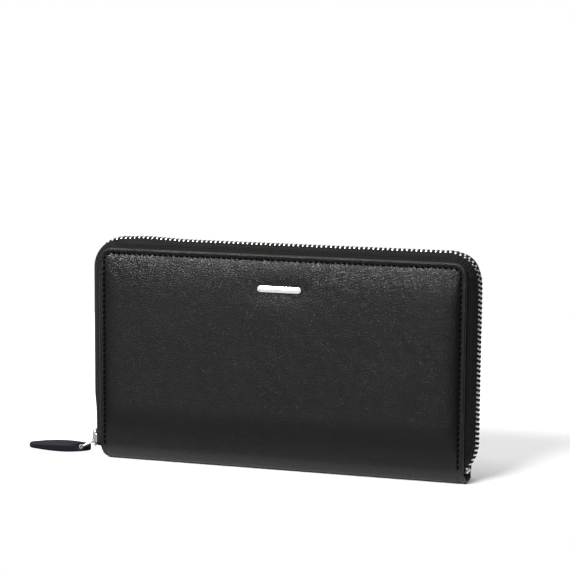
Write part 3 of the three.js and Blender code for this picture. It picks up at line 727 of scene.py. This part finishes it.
def build_zip():
    tape_ends = ("front_tape_left_end", "front_tape_right_end")
    teeth_ends = ("front_teeth_left_end", "front_teeth_right_end")
    settle(tape("zip_tape_front", -1), ROOT, "zip_tape", "front_zip_tape", *tape_ends, bend=ZIP_BEND)
    front_teeth = teeth_row("zip_teeth_front", -1)
    settle(front_teeth, ROOT, "zip_metal", "front_zip_teeth", *teeth_ends, bend=ZIP_BEND)
    settle(tape("zip_tape_back", 1), ROOT, "zip_tape", "back_zip_tape")
    settle(teeth_row("zip_teeth_back", 1), ROOT, "zip_metal", "back_zip_teeth")


# ---------------------------------------------------------------- outlines and plates


def quadratic(start, control, end, steps=5):
    """Points of a quadratic curve after its start."""
    return [tuple((1 - t) ** 2 * a + 2 * t * (1 - t) * b + t * t * c for a, b, c in zip(start, control, end))
            for t in (i / steps for i in range(1, steps + 1))]


def through(points, steps):
    """A smooth curve through points (Catmull-Rom)."""
    points = np.array(points, float)
    padded = np.concatenate([[2 * points[0] - points[1]], points, [2 * points[-1] - points[-2]]])
    made = []
    for p0, p1, p2, p3 in zip(padded, padded[1:], padded[2:], padded[3:]):
        for t in (i / steps for i in range(steps)):
            made.append(0.5 * (2 * p1 + (p2 - p0) * t + (2 * p0 - 5 * p1 + 4 * p2 - p3) * t ** 2
                               + (3 * p1 - p0 - 3 * p2 + p3) * t ** 3))
    made.append(points[-1])
    return made


def arc(a, b, radius, start, turn, steps):
    """Points round a centre, from a start angle through a turn, in degrees."""
    angles = [math.radians(start + turn * i / steps) for i in range(steps + 1)]
    return [(a + radius * math.cos(angle), b + radius * math.sin(angle)) for angle in angles]


def rounded_rectangle(a0, b0, a1, b1, radius, steps=4):
    """A rectangle between two corners, with its own corners rounded."""
    corners = ((a1 - radius, b1 - radius, 0), (a0 + radius, b1 - radius, 90),
               (a0 + radius, b0 + radius, 180), (a1 - radius, b0 + radius, 270))
    return [point for a, b, start in corners for point in arc(a, b, radius, start, 90, steps)]


def circle(a, b, radius, sides=28):
    return arc(a, b, radius, 0, 360, sides)[:-1]


def edge_distance(points, loops):
    """Distance from each point to the nearest of the closed loops."""
    points = np.asarray(points, float)[:, None, :]
    nearest = np.full(len(points), np.inf)
    for loop in loops:
        start = np.asarray(loop, float)[None]
        along = np.roll(start, -1, 1) - start
        t = np.clip(((points - start) * along).sum(2) / (along ** 2).sum(2), 0, 1)
        nearest = np.minimum(nearest, np.linalg.norm(points - start - t[..., None] * along, axis=2).min(1))
    return nearest


def is_inside(points, loop):
    points, loop = np.asarray(points, float), np.asarray(loop, float)
    crossings = np.zeros(len(points), int)
    for (a0, b0), (a1, b1) in zip(loop, np.roll(loop, -1, 0)):
        spans = (b0 > points[:, 1]) != (b1 > points[:, 1])
        reach = a0 + (points[:, 1] - b0) * (a1 - a0) / (b1 - b0 if b1 != b0 else 1e-12)
        crossings += spans & (points[:, 0] < reach)
    return crossings % 2 == 1


def offset_loop(loop, inset):
    """The loop drawn inwards."""
    loop = np.asarray(loop, float)
    along = np.roll(loop, -1, 0) - np.roll(loop, 1, 0)
    along /= np.linalg.norm(along, axis=1)[:, None]
    shift = np.stack([-along[:, 1], along[:, 0]], 1) * inset
    return loop + shift if is_inside(loop + shift, loop).mean() > 0.5 else loop - shift


def crowned_plate(outline, holes, insets, spacing, low, high, axes):
    """A plate whose two faces are low(distance) and high(distance) up, by the distance to its edge."""
    loops = [np.asarray(loop, float) for loop in (outline, *holes)]
    rows = list(loops)
    for inset in insets:
        rows.append(offset_loop(outline, inset))
        for hole in loops[1:]:
            centre = hole.mean(axis=0)
            size = np.linalg.norm(hole[0] - centre)
            rows.append(centre + (hole - centre) * (size + inset) / size)
    (a0, b0), (a1, b1) = loops[0].min(0), loops[0].max(0)
    grid = np.array([(a + (j % 2) * spacing / 2, b) for j, b in enumerate(np.arange(b0, b1, spacing * 0.87))
                     for a in np.arange(a0, a1, spacing)])
    grid = grid[edge_distance(grid, loops) > insets[-1] + 0.5 * spacing]
    grid = grid[is_inside(grid, outline)]
    edges, base = [], 0
    for loop in loops:
        edges += [(base + i, base + (i + 1) % len(loop)) for i in range(len(loop))]
        base += len(loop)
    made = delaunay_2d_cdt([Vector(p) for p in np.concatenate(rows + [grid])], edges, [], 0, 1e-6)
    flat, triangles = np.array([tuple(v) for v in made[0]]), np.array([list(face) for face in made[2]])
    middles = flat[triangles].mean(1)
    keep = is_inside(middles, outline)
    for hole in holes:
        keep &= ~is_inside(middles, hole)
    triangles = triangles[keep].tolist()
    distance = edge_distance(flat, loops)
    verts = [axes(a, b, face(d)) for face in (high, low) for (a, b), d in zip(flat, distance)]
    count = len(flat)
    faces = triangles + [[count + i for i in t[::-1]] for t in triangles]
    used = dict.fromkeys((t[i], t[(i + 1) % 3]) for t in triangles for i in range(3))
    faces += [[b, a, count + a, count + b] for a, b in used if (b, a) not in used]
    return verts, faces


def round_edge(height, reach):
    """A face's height by distance from the edge, with a rounded shoulder of that reach."""
    return lambda d: height * math.sqrt(max(0.0, 1 - (1 - min(d / reach, 1)) ** 2))


def block(a0, b0, a1, b1, low, high, axes, radius=0.25, bevel=0.14):
    return rounded_prism(rounded_rectangle(a0, b0, a1, b1, radius, 3), low, high, axes, bevel, 3)


def cross_x(a, b, c):
    """Outline in Y and Z, thickness along X."""
    return (c, a, b)


def cross_y(a, b, c):
    """Outline in X and Z, thickness along Y."""
    return (a, c, b)


def cross_z(a, b, c):
    """Outline in X and Y, thickness along Z."""
    return (a, b, c)


# ---------------------------------------------------------------- slider, ring and tab


SLIDER_HEIGHT, RING_DROP = 9, 1.8  # the slider's middle above the floor, and the ring's hinge below that
PLATE_INNER, PLATE_OUTER = TOOTH_HIGH + 0.15, TOOTH_HIGH + 0.85
RING_RADIUS, RING_WIRE, RING_REACH = 3.0, 0.62, 8.9
TAB_LAYER, TAB_HALF_WIDTH, TAB_LEAN = 1.08, 3.1, math.radians(20)
TAB_RISE = TAB_HALF_WIDTH * math.cos(TAB_LEAN) + TAB_LAYER * math.sin(TAB_LEAN)
RING_SLOPE = math.asin((SLIDER_HEIGHT - RING_DROP - TAB_RISE) / RING_REACH)
PULL_YAW = math.radians(8)


def shifted(x, y, z):
    return Matrix.Translation((x, y, z))


def turned(angle, axis):
    return Matrix.Rotation(angle, 4, axis)


SLIDER_PLACE = shifted(-HALF_LENGTH - CHAIN_SPREAD, 0, SLIDER_HEIGHT) @ turned(math.pi, "Z")
SWING_PLACE = SLIDER_PLACE @ shifted(PLATE_OUTER + 0.8, 0, -RING_DROP) @ turned(PULL_YAW, "Z")
RING_PLACE = SWING_PLACE @ turned(RING_SLOPE, "Y")
TAB_PLACE = SWING_PLACE @ shifted(RING_REACH * math.cos(RING_SLOPE), 0, -RING_REACH * math.sin(RING_SLOPE)) \
    @ turned(TAB_LEAN, "X")


def slider_outline():
    w, h, r, taper = 4.1, 4.5, 1.6, 0.6
    half = [(w - r, -h)] + quadratic((w - r, -h), (w, -h), (w, -h + r)) + [(w, h - 2 * r)]
    half += quadratic((w, h - 2 * r), (w, h), (w - r - taper, h))
    return half + [(-a, b) for a, b in half[::-1]]


def slider_plate(low, high, flange_low, flange_high):
    """One plate of the slider with its two guiding flanges."""
    solids = [rounded_prism(slider_outline(), low, high, cross_x, 0.24, 4)]
    for inner, outer in ((-4.08, -3.32), (3.32, 4.08)):
        solids.append(block(inner, -2.3, outer, 2.3, flange_low, flange_high, cross_x, 0.3, 0.16))
    return solids


def bridge_outline():
    clear, top = 1.65, 2.25
    half = [(0, -3.8), (clear, -3.3)] + quadratic((clear, -3.3), (top, -3.1), (top, -2.4))
    inner = [(0, -3.0), (clear, -2.5)]
    return half + [(a, -b) for a, b in half[::-1]] + [(a, -b) for a, b in inner] + inner[::-1]


def build_slider():
    outer = slider_plate(PLATE_INNER, PLATE_OUTER, 3.5, PLATE_INNER + 0.1)
    inner = slider_plate(TOOTH_LOW - 0.85, TOOTH_LOW - 0.15, TOOTH_LOW - 0.25, 2.6)
    bridge = rounded_prism(bridge_outline(), -0.9, 0.9,
                           lambda a, b, c: (PLATE_OUTER + a - 0.05, c, b), 0.2, 4)
    for name, shapes, node_name in (("slider_outer_shell", outer, "slider_outer_plate"),
                                    ("slider_inner_shell", inner, "slider_inner_plate"),
                                    ("slider_arch", [bridge], "slider_bridge")):
        settle(crisp(solid(name, shapes, SHADED_SLIDER_NICKEL, SLIDER_PLACE)), "slider", "zip_metal", node_name)


def build_ring():
    line = arc(RING_REACH - RING_RADIUS, 0, RING_RADIUS, -90, 180, 24)
    line += arc(RING_RADIUS, 0, RING_RADIUS, 90, 180, 24)
    wire = tube([(a, b, 0) for a, b in line], RING_WIRE, sides=18, loop=True)
    ring = facing_out(solid("pull_ring_wire", [wire], NICKEL, RING_PLACE))
    settle(ring, "pull_ring", "zip_metal", "pull_ring")


TAB_EDGE = [  # half of the leaf's outline, from the ring end to the tip
    (-5.6, 0.9), (-5.1, 1.65), (-2, 2.35), (4, 2.95), (10, TAB_HALF_WIDTH), (17, 2.75), (23, 2.1),
    (26.4, 1.6), (27.15, 0.9), (27.3, 0)]
TAB_EYE = circle(-0.2, 0, 1.05)
TAB_SEAM = 0.02  # half the gap between the two leathers
TAB_PAINTED = 0.62  # height up to which the cut edge is painted


def tab_leather(name, side, node_name):
    """One of the tab's two leathers: filled a little, so that it crowns along its middle."""
    upper = [tuple(p) for p in through(TAB_EDGE, 9)]
    end_x, end_half = TAB_EDGE[0]
    ring_end = [(end_x, b) for b in np.linspace(-end_half, end_half, 6)[1:-1]]
    outline = upper + [(a, -b) for a, b in upper[-2::-1]] + ring_end
    shoulder = round_edge(1, 0.34)
    verts, faces = crowned_plate(outline, [TAB_EYE], (0.05, 0.14, 0.3, 0.55, 0.9), 0.4,
                                 lambda d: side * TAB_SEAM,
                                 lambda d: side * (0.74 * shoulder(d) + 0.25 * d), cross_y)
    depth = np.abs([v[1] for v in verts])
    slots = [1 if depth[face].max() < TAB_PAINTED else 0 for face in faces]
    made = piece(name, [TAB_PLACE @ Vector(v) for v in verts], faces, [PULL, PULL_EDGE], slots)
    settle(crisp(made, 60), "pull_tab", "pull_leather", node_name)


def build_pull():
    build_ring()
    tab_leather("pull_tab_outer", 1, "pull_tab_outer_leather")
    tab_leather("pull_tab_inner", -1, "pull_tab_inner_leather")


def build_stops():
    edge = -HALF_LENGTH - CHAIN_SPREAD
    for label, low, high in (("front", -2.8, -1.0), ("back", 1.0, 2.8)):
        stop = block(edge - TOOTH_HIGH, 4.8, edge - TOOTH_LOW, 6.6, low, high, cross_y, 0.5, 0.3)
        settle(crisp(solid(label + "_zip_top_stop", [stop], NICKEL)), ROOT, "zip_metal", label + "_top_stop")
    middle, half_width = HALF_LENGTH - 0.4, 1.4
    stop = block(middle - half_width, 4.4, middle + half_width, 6.2, -3.2, 3.2, cross_y, 0.5, 0.35)
    settle(crisp(solid("zip_bottom_stop", [stop], NICKEL)), ROOT, "zip_metal", "bottom_stop")


PLATE_HALF_LENGTH, PLATE_HALF_HEIGHT = 11.4, 1.45
PLATE_BACK, PLATE_FACE, PLATE_SHOULDER = -11.27, -11.75, 0.3
PLATE_SLOPE = 0.2


def build_nameplate():
    """A plain polished bar, a little thicker along its lower edge."""
    low, high = PLATE_Z - PLATE_HALF_HEIGHT, PLATE_Z + PLATE_HALF_HEIGHT
    outline = rounded_rectangle(PLATE_X - PLATE_HALF_LENGTH, low, PLATE_X + PLATE_HALF_LENGTH, high,
                                PLATE_HALF_HEIGHT - 0.02, 14)
    insets = (0.03, 0.1, 0.2, 0.32, 0.46, 0.62, 0.8, 1.0, 1.2, 1.45, 1.7)
    shoulder = round_edge(PLATE_SHOULDER, PLATE_SHOULDER)
    verts, faces = crowned_plate(outline, [], insets, 0.45, lambda d: PLATE_BACK,
                                 lambda d: PLATE_FACE - shoulder(d), cross_y)
    sloped = [(x, y - (PLATE_SLOPE * (high - z) if y < PLATE_BACK - 0.1 else 0.0), z) for x, y, z in verts]
    bar = crisp(solid("nameplate_bar", [(sloped, faces)], CHROME))
    settle(bar, FRONT_BODY, "plate_metal", "nameplate")


# ---------------------------------------------------------------- inside: padding, linings, card pockets


LAYER_FOOT = 14.0
LINING_INSET, LINING_FACES = 0.8, (7.75, 8.15)
POCKET_COUNT, POCKET_TOP, POCKET_STEP, POCKET_HALF = 4, 92.0, 13.0, 90.5
POCKET_FACE, POCKET_LEATHER, POCKET_PITCH = 7.65, 0.35, 0.45
NOTCH_HALF, NOTCH_DIP = 9.0, 3.0


def cover_padding(side, label, body):
    """The foam between the board and the leather, crowned like the leather over it."""
    edge = 4.5
    x, z = np.meshgrid(np.linspace(-HALF_LENGTH + edge, HALF_LENGTH - edge, 110),
                       np.linspace(16, HEIGHT - edge, 60))
    flat = RIM - LEATHER + 0.02
    outer = flat + np.maximum(field_height(x, HEIGHT - z, side) * 0.85 - 0.12, 0.04)
    inner = np.full(x.shape, flat - 0.02)
    shape = two_faced(standing(x, side * outer, z), standing(x, side * inner, z))
    foam = facing_out(solid(label + "_cover_foam", [shape], FOAM))
    settle(foam, body, "padding", label + "_cover_padding")


def layer_outline(inset, foot):
    """The covers' outline drawn in by inset, with a straight foot."""
    x, top, radius = HALF_LENGTH - inset, HEIGHT - inset, max(CORNER - inset, 1.5)
    return [(-x, foot), (x, foot), *arc(x - radius, top - radius, radius, 0, 90, 12),
            *arc(-x + radius, top - radius, radius, 90, 90, 12)]


def cover_lining(side, label, body):
    outline = layer_outline(LINING_INSET, LAYER_FOOT)
    low, high = sorted(side * face for face in LINING_FACES)
    shape = rounded_prism(outline, low, high, cross_y, 0.12, 3)
    lining = crisp(solid(label + "_cover_lining_cloth", [shape], LINING))
    settle(lining, body, "lining", label + "_cover_lining")


def notch(x):
    """How far a pocket's mouth dips at x, for a thumb."""
    t = np.clip((np.abs(x) - POCKET_HALF / 2) / NOTCH_HALF, -1, 1)
    return NOTCH_DIP * (1 - t * t)


def slack(x, z):
    """How far the pockets stand off towards the middle, between their seams."""
    across = np.sin(math.pi * np.clip(np.abs(x) / POCKET_HALF, 0, 1))
    return 0.42 * across * np.clip((z - LAYER_FOOT) / 60, 0, 1)


POCKET_RELIEF = np.array([  # distance below the mouth, how far the leather sinks there
    (0, 0.17), (0.07, 0.07), (0.2, 0.01), (0.5, 0), (1.5, 0), (1.85, 0.03), (2.05, 0.12), (2.25, 0.03),
    (2.6, 0), (200, 0)])
POCKET_ROWS = [0, 0.07, 0.2, 0.5, 1.0, 1.5, 1.85, 2.05, 2.25, 2.6, 3.6, 5.5, 8, 11, 14]


def card_pocket(side, label, body, index):
    """A leather panel with a turned mouth, a creased line below it and a thumb notch over each column."""
    top = POCKET_TOP - index * POCKET_STEP
    middle = POCKET_HALF / 2
    notches = [np.linspace(x - NOTCH_HALF, x + NOTCH_HALF, 25) for x in (-middle, middle)]
    xs = np.unique(np.concatenate([np.linspace(-POCKET_HALF, POCKET_HALF, 61), *notches]))
    mouth = top - notch(xs)
    rows = [mouth - d for d in POCKET_ROWS]
    rows += [rows[-1] + (LAYER_FOOT - rows[-1]) * t for t in np.linspace(0, 1, 10)[1:]]
    z = np.array(rows)
    x = np.tile(xs, (len(rows), 1))
    down = mouth - z
    shown = POCKET_FACE - POCKET_LEATHER - index * POCKET_PITCH - slack(x, z)
    relief = np.interp(down, *POCKET_RELIEF.T)
    hidden = shown + POCKET_LEATHER - np.interp(down, [0, 0.07, 0.2], [0.17, 0.07, 0])
    shape = two_faced(standing(x, side * (shown + relief), z), standing(x, side * hidden, z))
    panel = crisp(solid(f"{label}_card_panel_{index + 1}", [shape], POCKET), 60)
    settle(panel, body, "pocket_leather", f"{label}_card_pocket_{index + 1}")


def pocket_stitches(side, label, body):
    """Upright seams down the sides and the middle of the pockets."""
    pitch, length = 2.6, 1.9
    raised = 0.12 * (1 - np.abs(np.linspace(-1, 1, 5)) ** 3) - 0.06
    stitches = []
    for index in range(POCKET_COUNT):
        top = POCKET_TOP - index * POCKET_STEP - 2.8
        low = top - POCKET_STEP + 2.6 if index + 1 < POCKET_COUNT else LAYER_FOOT + 1.5
        for x in (-POCKET_HALF + 1.8, 0.0, POCKET_HALF - 1.8):
            for i in range(max(1, int((top - low) // pitch))):
                z = np.linspace(top - i * pitch, top - i * pitch - length, 5)
                x_line = np.full(5, x)
                y = POCKET_FACE - POCKET_LEATHER - index * POCKET_PITCH - slack(x_line, z) - raised
                points = np.stack([x_line, side * y, z], 1)
                stitches.append(tube(points, 0.17, sides=6, up=(0, side, 0), round_ends=True))
    settle(solid(label + "_pocket_stitches", stitches, THREAD), body, "pocket_leather")


def build_inside():
    for side, label, body in ((-1, "front", FRONT_BODY), (1, "back", ROOT)):
        cover_padding(side, label, body)
        cover_lining(side, label, body)
        for index in range(POCKET_COUNT):
            card_pocket(side, label, body, index)
        pocket_stitches(side, label, body)


# ---------------------------------------------------------------- gussets


GUSSET_FOLDS = [(90.5, 5.6), (83.5, 3.7), (90.5, 2.0), (90.5, -2.0), (83.5, -3.7), (90.5, -5.6)]
GUSSET_LOW, GUSSET_HIGH, GUSSET_CLOTH = 14.0, 88.0, 0.36
GUSSET_BEND = [(0, y * MM, 0) for y in (5.6, -5.6)]
GUSSET_ROWS, GUSSET_COLUMNS = 24, 120


def softened(points, passes=3, share=0.14):
    """Cuts the corners of a line again and again, so that its folds are round."""
    points = np.array(points, float)
    for _ in range(passes):
        ahead = np.diff(points, axis=0)
        cut = np.stack([points[:-1] + ahead * share, points[:-1] + ahead * (1 - share)], 1).reshape(-1, 2)
        points = np.concatenate([points[:1], cut, points[-1:]])
    return points


def build_gusset(label, end):
    """An accordion of lining cloth from one lining to the other, with two inward folds."""
    folds = softened(GUSSET_FOLDS)
    run = lengths_along(folds)
    at = np.linspace(0, run[-1], GUSSET_COLUMNS)
    line = np.stack([np.interp(at, run, column) for column in folds.T], 1)
    along = directions(line)
    normal = np.stack([along[:, 1], -along[:, 0]], 1) * GUSSET_CLOTH / 2
    z = np.repeat(np.linspace(GUSSET_LOW, GUSSET_HIGH, GUSSET_ROWS)[:, None], GUSSET_COLUMNS, 1)
    grids = [standing(np.tile(end * x, (GUSSET_ROWS, 1)), np.tile(y, (GUSSET_ROWS, 1)), z)
             for x, y in ((line + normal).T, (line - normal).T)]
    gusset = facing_out(solid(label + "_gusset_cloth", [two_faced(*grids)], LINING))
    settle(gusset, ROOT, "lining", label + "_gusset", bend=GUSSET_BEND)


# ---------------------------------------------------------------- coin pocket


COIN_HALF, COIN_FACE, COIN_WALL, COIN_FOOT, COIN_TOP = 88.5, 1.65, 0.45, 14.0, 93.0
COIN_CHAIN_HALF, COIN_PITCH, COIN_SLIDER_X = 80.0, 2.0, -75.0


def coin_wall(side, label):
    """A cloth wall, loose in its middle and hemmed along the top."""
    x, z = np.meshgrid(np.linspace(-COIN_HALF, COIN_HALF, 100), np.linspace(COIN_FOOT, COIN_TOP, 50))
    across = 1 - (x / COIN_HALF) ** 6
    upward = np.sin(math.pi * np.clip((z - COIN_FOOT) / (COIN_TOP - COIN_FOOT), 0, 1)) ** 0.7
    sway = [noise.noise(Vector((a / 26.0, b / 60.0, 5.0 * side))) for a, b in zip(x.ravel(), z.ravel())]
    bulge = across * upward * (0.35 + 0.5 * np.reshape(sway, x.shape))
    hem = 0.1 * smooth((z - COIN_TOP + 3.2) / 0.5)
    outer = COIN_FACE - 0.1 + bulge + hem
    inner = COIN_FACE - COIN_WALL + bulge
    shape = two_faced(standing(x, side * outer, z), standing(x, side * inner, z))
    wall = facing_out(solid(f"coin_pocket_{label}_cloth", [shape], LINING))
    settle(wall, COIN_BODY, "lining", f"coin_pocket_{label}_wall")


def coin_strips():
    """The folded strips that close the pocket's bottom and ends."""
    fill = COIN_FACE - COIN_WALL - 0.05
    x, wide, gap = COIN_HALF, 2, 0.2
    side_foot = COIN_FOOT + wide + gap
    strips = (("bottom", -x, COIN_FOOT, x, COIN_FOOT + wide), ("left", -x, side_foot, -x + wide, COIN_TOP),
              ("right", x - wide, side_foot, x, COIN_TOP))
    for label, x0, z0, x1, z1 in strips:
        shape = block(x0, z0, x1, z1, -fill, fill, cross_y, 0.6, 0.5)
        strip = crisp(solid(f"coin_pocket_{label}_binding", [shape], TAPE), 60)
        settle(strip, COIN_BODY, "lining", f"coin_pocket_{label}_strip")


def coin_tape(side, label):
    """The small zip's tape, with a cord along its upper edge."""
    line = [  # y, z, half-thickness
        (1.42, 93.1, 0.2), (1.44, 94.2, 0.2), (1.46, 95.2, 0.2), (1.44, 95.7, 0.22), (1.4, 95.95, 0.3),
        (1.4, 96.2, 0.3), (1.4, 96.4, 0.16)]
    section = [(y + t, z) for y, z, t in line] + [(y - t, z) for y, z, t in line[::-1]]
    half = COIN_HALF - 2.2
    rings = [[(x, side * y, z) for y, z in section] for x in np.linspace(-half, half, 60)]
    made = facing_out(solid(f"coin_zip_{label}_tape_cloth", [swept(rings)], TAPE))
    settle(made, COIN_BODY, "zip_tape", f"coin_zip_{label}_tape")


COIN_TOOTH_PROFILE = [(1.9, 96.72), (1.9, 97.28), (1.7, 97.45), (0.2, 97.5), (-0.5, 97.4), (-0.72, 97.15),
                      (-0.72, 96.85), (-0.5, 96.6), (0.2, 96.5), (1.7, 96.55)]
COIN_TOOTH_WIDTHS = [(0.46, 0.78), (0.38, 0.94), (0.26, 1.0)]


def coin_teeth():
    """The closed small chain: bevelled teeth that alternate from the two tapes."""
    centre_y, centre_z = 0.6, 97.0
    teeth = []
    for i in range(int(2 * COIN_CHAIN_HALF / COIN_PITCH) * 2 - 1):
        x = -COIN_CHAIN_HALF + (i + 1) * COIN_PITCH / 2
        side = -1 if i % 2 else 1
        teeth.append(swept([
            [(x + width, side * (centre_y + (y - centre_y) * size), centre_z + (z - centre_z) * size)
             for y, z in COIN_TOOTH_PROFILE]
            for width, size in bevelled(COIN_TOOTH_WIDTHS)]))
    settle(crisp(solid("coin_zip_teeth", teeth, NICKEL)), COIN_BODY, "zip_metal", "coin_zip_chain")


def coin_stops():
    for end, label in ((-1, "left"), (1, "right")):
        middle = end * (COIN_CHAIN_HALF + 1.4)
        shape = block(middle - 0.8, -1.4, middle + 0.8, 1.4, COIN_TOP + 3, COIN_TOP + 4.6, cross_z, 0.5, 0.3)
        stop = crisp(solid(f"coin_zip_{label}_end_stop", [shape], NICKEL))
        settle(stop, COIN_BODY, "zip_metal", f"coin_zip_{label}_stop")


def coin_slider():
    """The small slider: a rounded deck, two flanges below it and two posts for the pull."""
    deck = COIN_TOP + 4.7
    x, half_length, half_width = COIN_SLIDER_X, 3.6, 2.7
    plate = rounded_rectangle(x - half_length, -half_width, x + half_length, half_width, 1.5, 6)
    shapes = [rounded_prism(plate, deck, deck + 0.7, cross_z, 0.22, 4)]
    flange = half_length - 1
    for side in (-1, 1):
        low, high = sorted((side * 2.1, side * half_width))
        shapes.append(block(x - flange, low, x + flange, high, deck - 1.1, deck + 0.2, cross_z, 0.2, 0.15))
        low, high = sorted((side * 1.1, side * 1.7))
        shapes.append(block(x - 1, low, x + 1, high, deck + 0.5, deck + 2, cross_z, 0.25, 0.2))
    settle(crisp(solid("coin_slider_shell", shapes, NICKEL)), "coin_slider", "zip_metal", "coin_slider_body")


def coin_pull():
    """The small flat pull, waisted by the slider and with an eye near its end."""
    half = [(0.4, 0.9), (-3, 0.9)] + quadratic((-3, 0.9), (-5, 2.2), (-8.4, 2.2), 8)
    half += quadratic((-8.4, 2.2), (-10, 2.2), (-10, 0), 8)
    outline = [(COIN_SLIDER_X + a, b) for a, b in half + [(a, -b) for a, b in half[-2::-1]]]
    middle = COIN_TOP + 6.0
    rise = round_edge(0.4, 0.25)
    shape = crowned_plate(outline, [circle(COIN_SLIDER_X - 7, 0, 1.0, 24)], (0.03, 0.09, 0.17, 0.27), 0.4,
                          lambda d: middle - rise(d + 0.02), lambda d: middle + rise(d + 0.02), cross_z)
    settle(crisp(solid("coin_pull_blade", [shape], NICKEL), 60), "coin_pull", "zip_metal", "coin_pull")


def build_coin_pocket():
    for side, label in ((-1, "front"), (1, "back")):
        coin_tape(side, label)
        coin_wall(side, label)
    coin_strips()
    coin_teeth()
    coin_stops()
    coin_slider()
    coin_pull()


def finish_boards():
    """The boards and the spine's stiffener keep their CAD shape."""
    for name in ("front_cover_board", "back_cover_board", "spine_stiffener"):
        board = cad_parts[name]
        board.data.materials.clear()
        board.data.materials.append(BOARD)


# ---------------------------------------------------------------- camera, floor and light


AMBIENT = 0.10
LIGHTS = [  # name, place, target and size in metres, power in watts
    ("softbox_above", (0.0, 0.5, 2.3), (0.0, 0.5, 0.0), (3.5, 2.8), 48),
    ("softbox_high", (-0.6, -0.25, 1.2), (0.0, 0.0, 0.0), (0.5, 0.4), 4),
    ("softbox_low", (-0.45, -1.45, -0.3), (0.0, 0.0, 0.05), (1.6, 1.3), 4.8),
    ("softbox_sheen", (-0.65, -1.2, 1.1), (0.0, 0.0, 0.08), (1.0, 0.35), 50),
    ("softbox_back", (0.7, 1.5, 1.1), (0.0, 0.0, 0.05), (1.2, 0.8), 3),
]
# Metres. The floor stops in front, so that upright faces don't mirror it, and leaves room at the left
# for the tab, which swings down past the surface.
FLOOR = (-2.0, -0.018, 2.0, 0.45)
TAB_ROOM = (-0.0985, 0.012)
FLOOR_DROP = 0.0002
CAMERA_AZIMUTH, CAMERA_ELEVATION, CAMERA_ROLL = (math.radians(angle) for angle in (16.55, 7.95, -0.43))
CAMERA_DISTANCE, CAMERA_LENS = 982.0, 124.2
CAMERA_TARGET = (0.8, 0.0, 93.2)


def build_camera():
    level = math.cos(CAMERA_ELEVATION)
    back = Vector((math.sin(CAMERA_AZIMUTH) * level, -math.cos(CAMERA_AZIMUTH) * level,
                   math.sin(CAMERA_ELEVATION)))
    right = Vector((math.cos(CAMERA_AZIMUTH), math.sin(CAMERA_AZIMUTH), 0))
    up = back.cross(right)
    turned_right = right * math.cos(CAMERA_ROLL) - up * math.sin(CAMERA_ROLL)
    turned_up = right * math.sin(CAMERA_ROLL) + up * math.cos(CAMERA_ROLL)
    data = bpy.data.cameras.new("camera")
    data.lens = CAMERA_LENS
    data.sensor_width = 36
    data.clip_start, data.clip_end = 0.01, 50
    camera = bpy.data.objects.new("camera", data)
    place = Matrix.Translation((Vector(CAMERA_TARGET) + back * CAMERA_DISTANCE) * MM)
    camera.matrix_world = place @ Matrix((turned_right, turned_up, back)).transposed().to_4x4()
    bpy.context.scene.collection.objects.link(camera)
    bpy.context.scene.camera = camera


def area_light(name, place, target, size, power):
    data = bpy.data.lights.new(name, "AREA")
    data.shape = "RECTANGLE"
    data.size, data.size_y = size
    data.energy = power
    lamp = bpy.data.objects.new(name, data)
    lamp.location = place
    lamp.rotation_euler = (Vector(target) - Vector(place)).to_track_quat("-Z", "Y").to_euler()
    bpy.context.scene.collection.objects.link(lamp)


def build_floor():
    x0, y0, x1, y1 = FLOOR
    room_x, room_y = TAB_ROOM
    outline = [(room_x, y0), (x1, y0), (x1, y1), (x0, y1), (x0, room_y), (room_x, room_y)]
    mesh = bpy.data.meshes.new("floor")
    mesh.from_pydata([(x, y, 0) for x, y in outline], [], [list(range(len(outline)))])
    mesh.materials.append(new_material("floor", (0.93, 0.93, 0.935), 0.8, specular=0.1)[0])
    floor = bpy.data.objects.new("floor", mesh)
    floor.location.z = -FLOOR_DROP
    bpy.context.scene.collection.objects.link(floor)


def build_light():
    """Soft boxes, and a world that is white to the camera and dim to everything else."""
    bpy.context.scene.view_settings.view_transform = "Standard"
    world = bpy.data.worlds.new("studio")
    bpy.context.scene.world = world
    world.use_nodes = True
    tree = world.node_tree
    background = tree.nodes["Background"]
    background.inputs["Color"].default_value = (1, 1, 1, 1)
    seen = node(tree, "ShaderNodeLightPath").outputs["Is Camera Ray"]
    tree.links.new(spread(tree, seen, 0.0, 1.0, AMBIENT, 1.0), background.inputs["Strength"])
    for light in LIGHTS:
        area_light(*light)


build_camera()
build_covers()
build_zip()
build_slider()
build_pull()
build_stops()
build_nameplate()
build_inside()
build_gusset("left", -1)
build_gusset("right", 1)
build_coin_pocket()
finish_boards()
build_floor()
build_light()
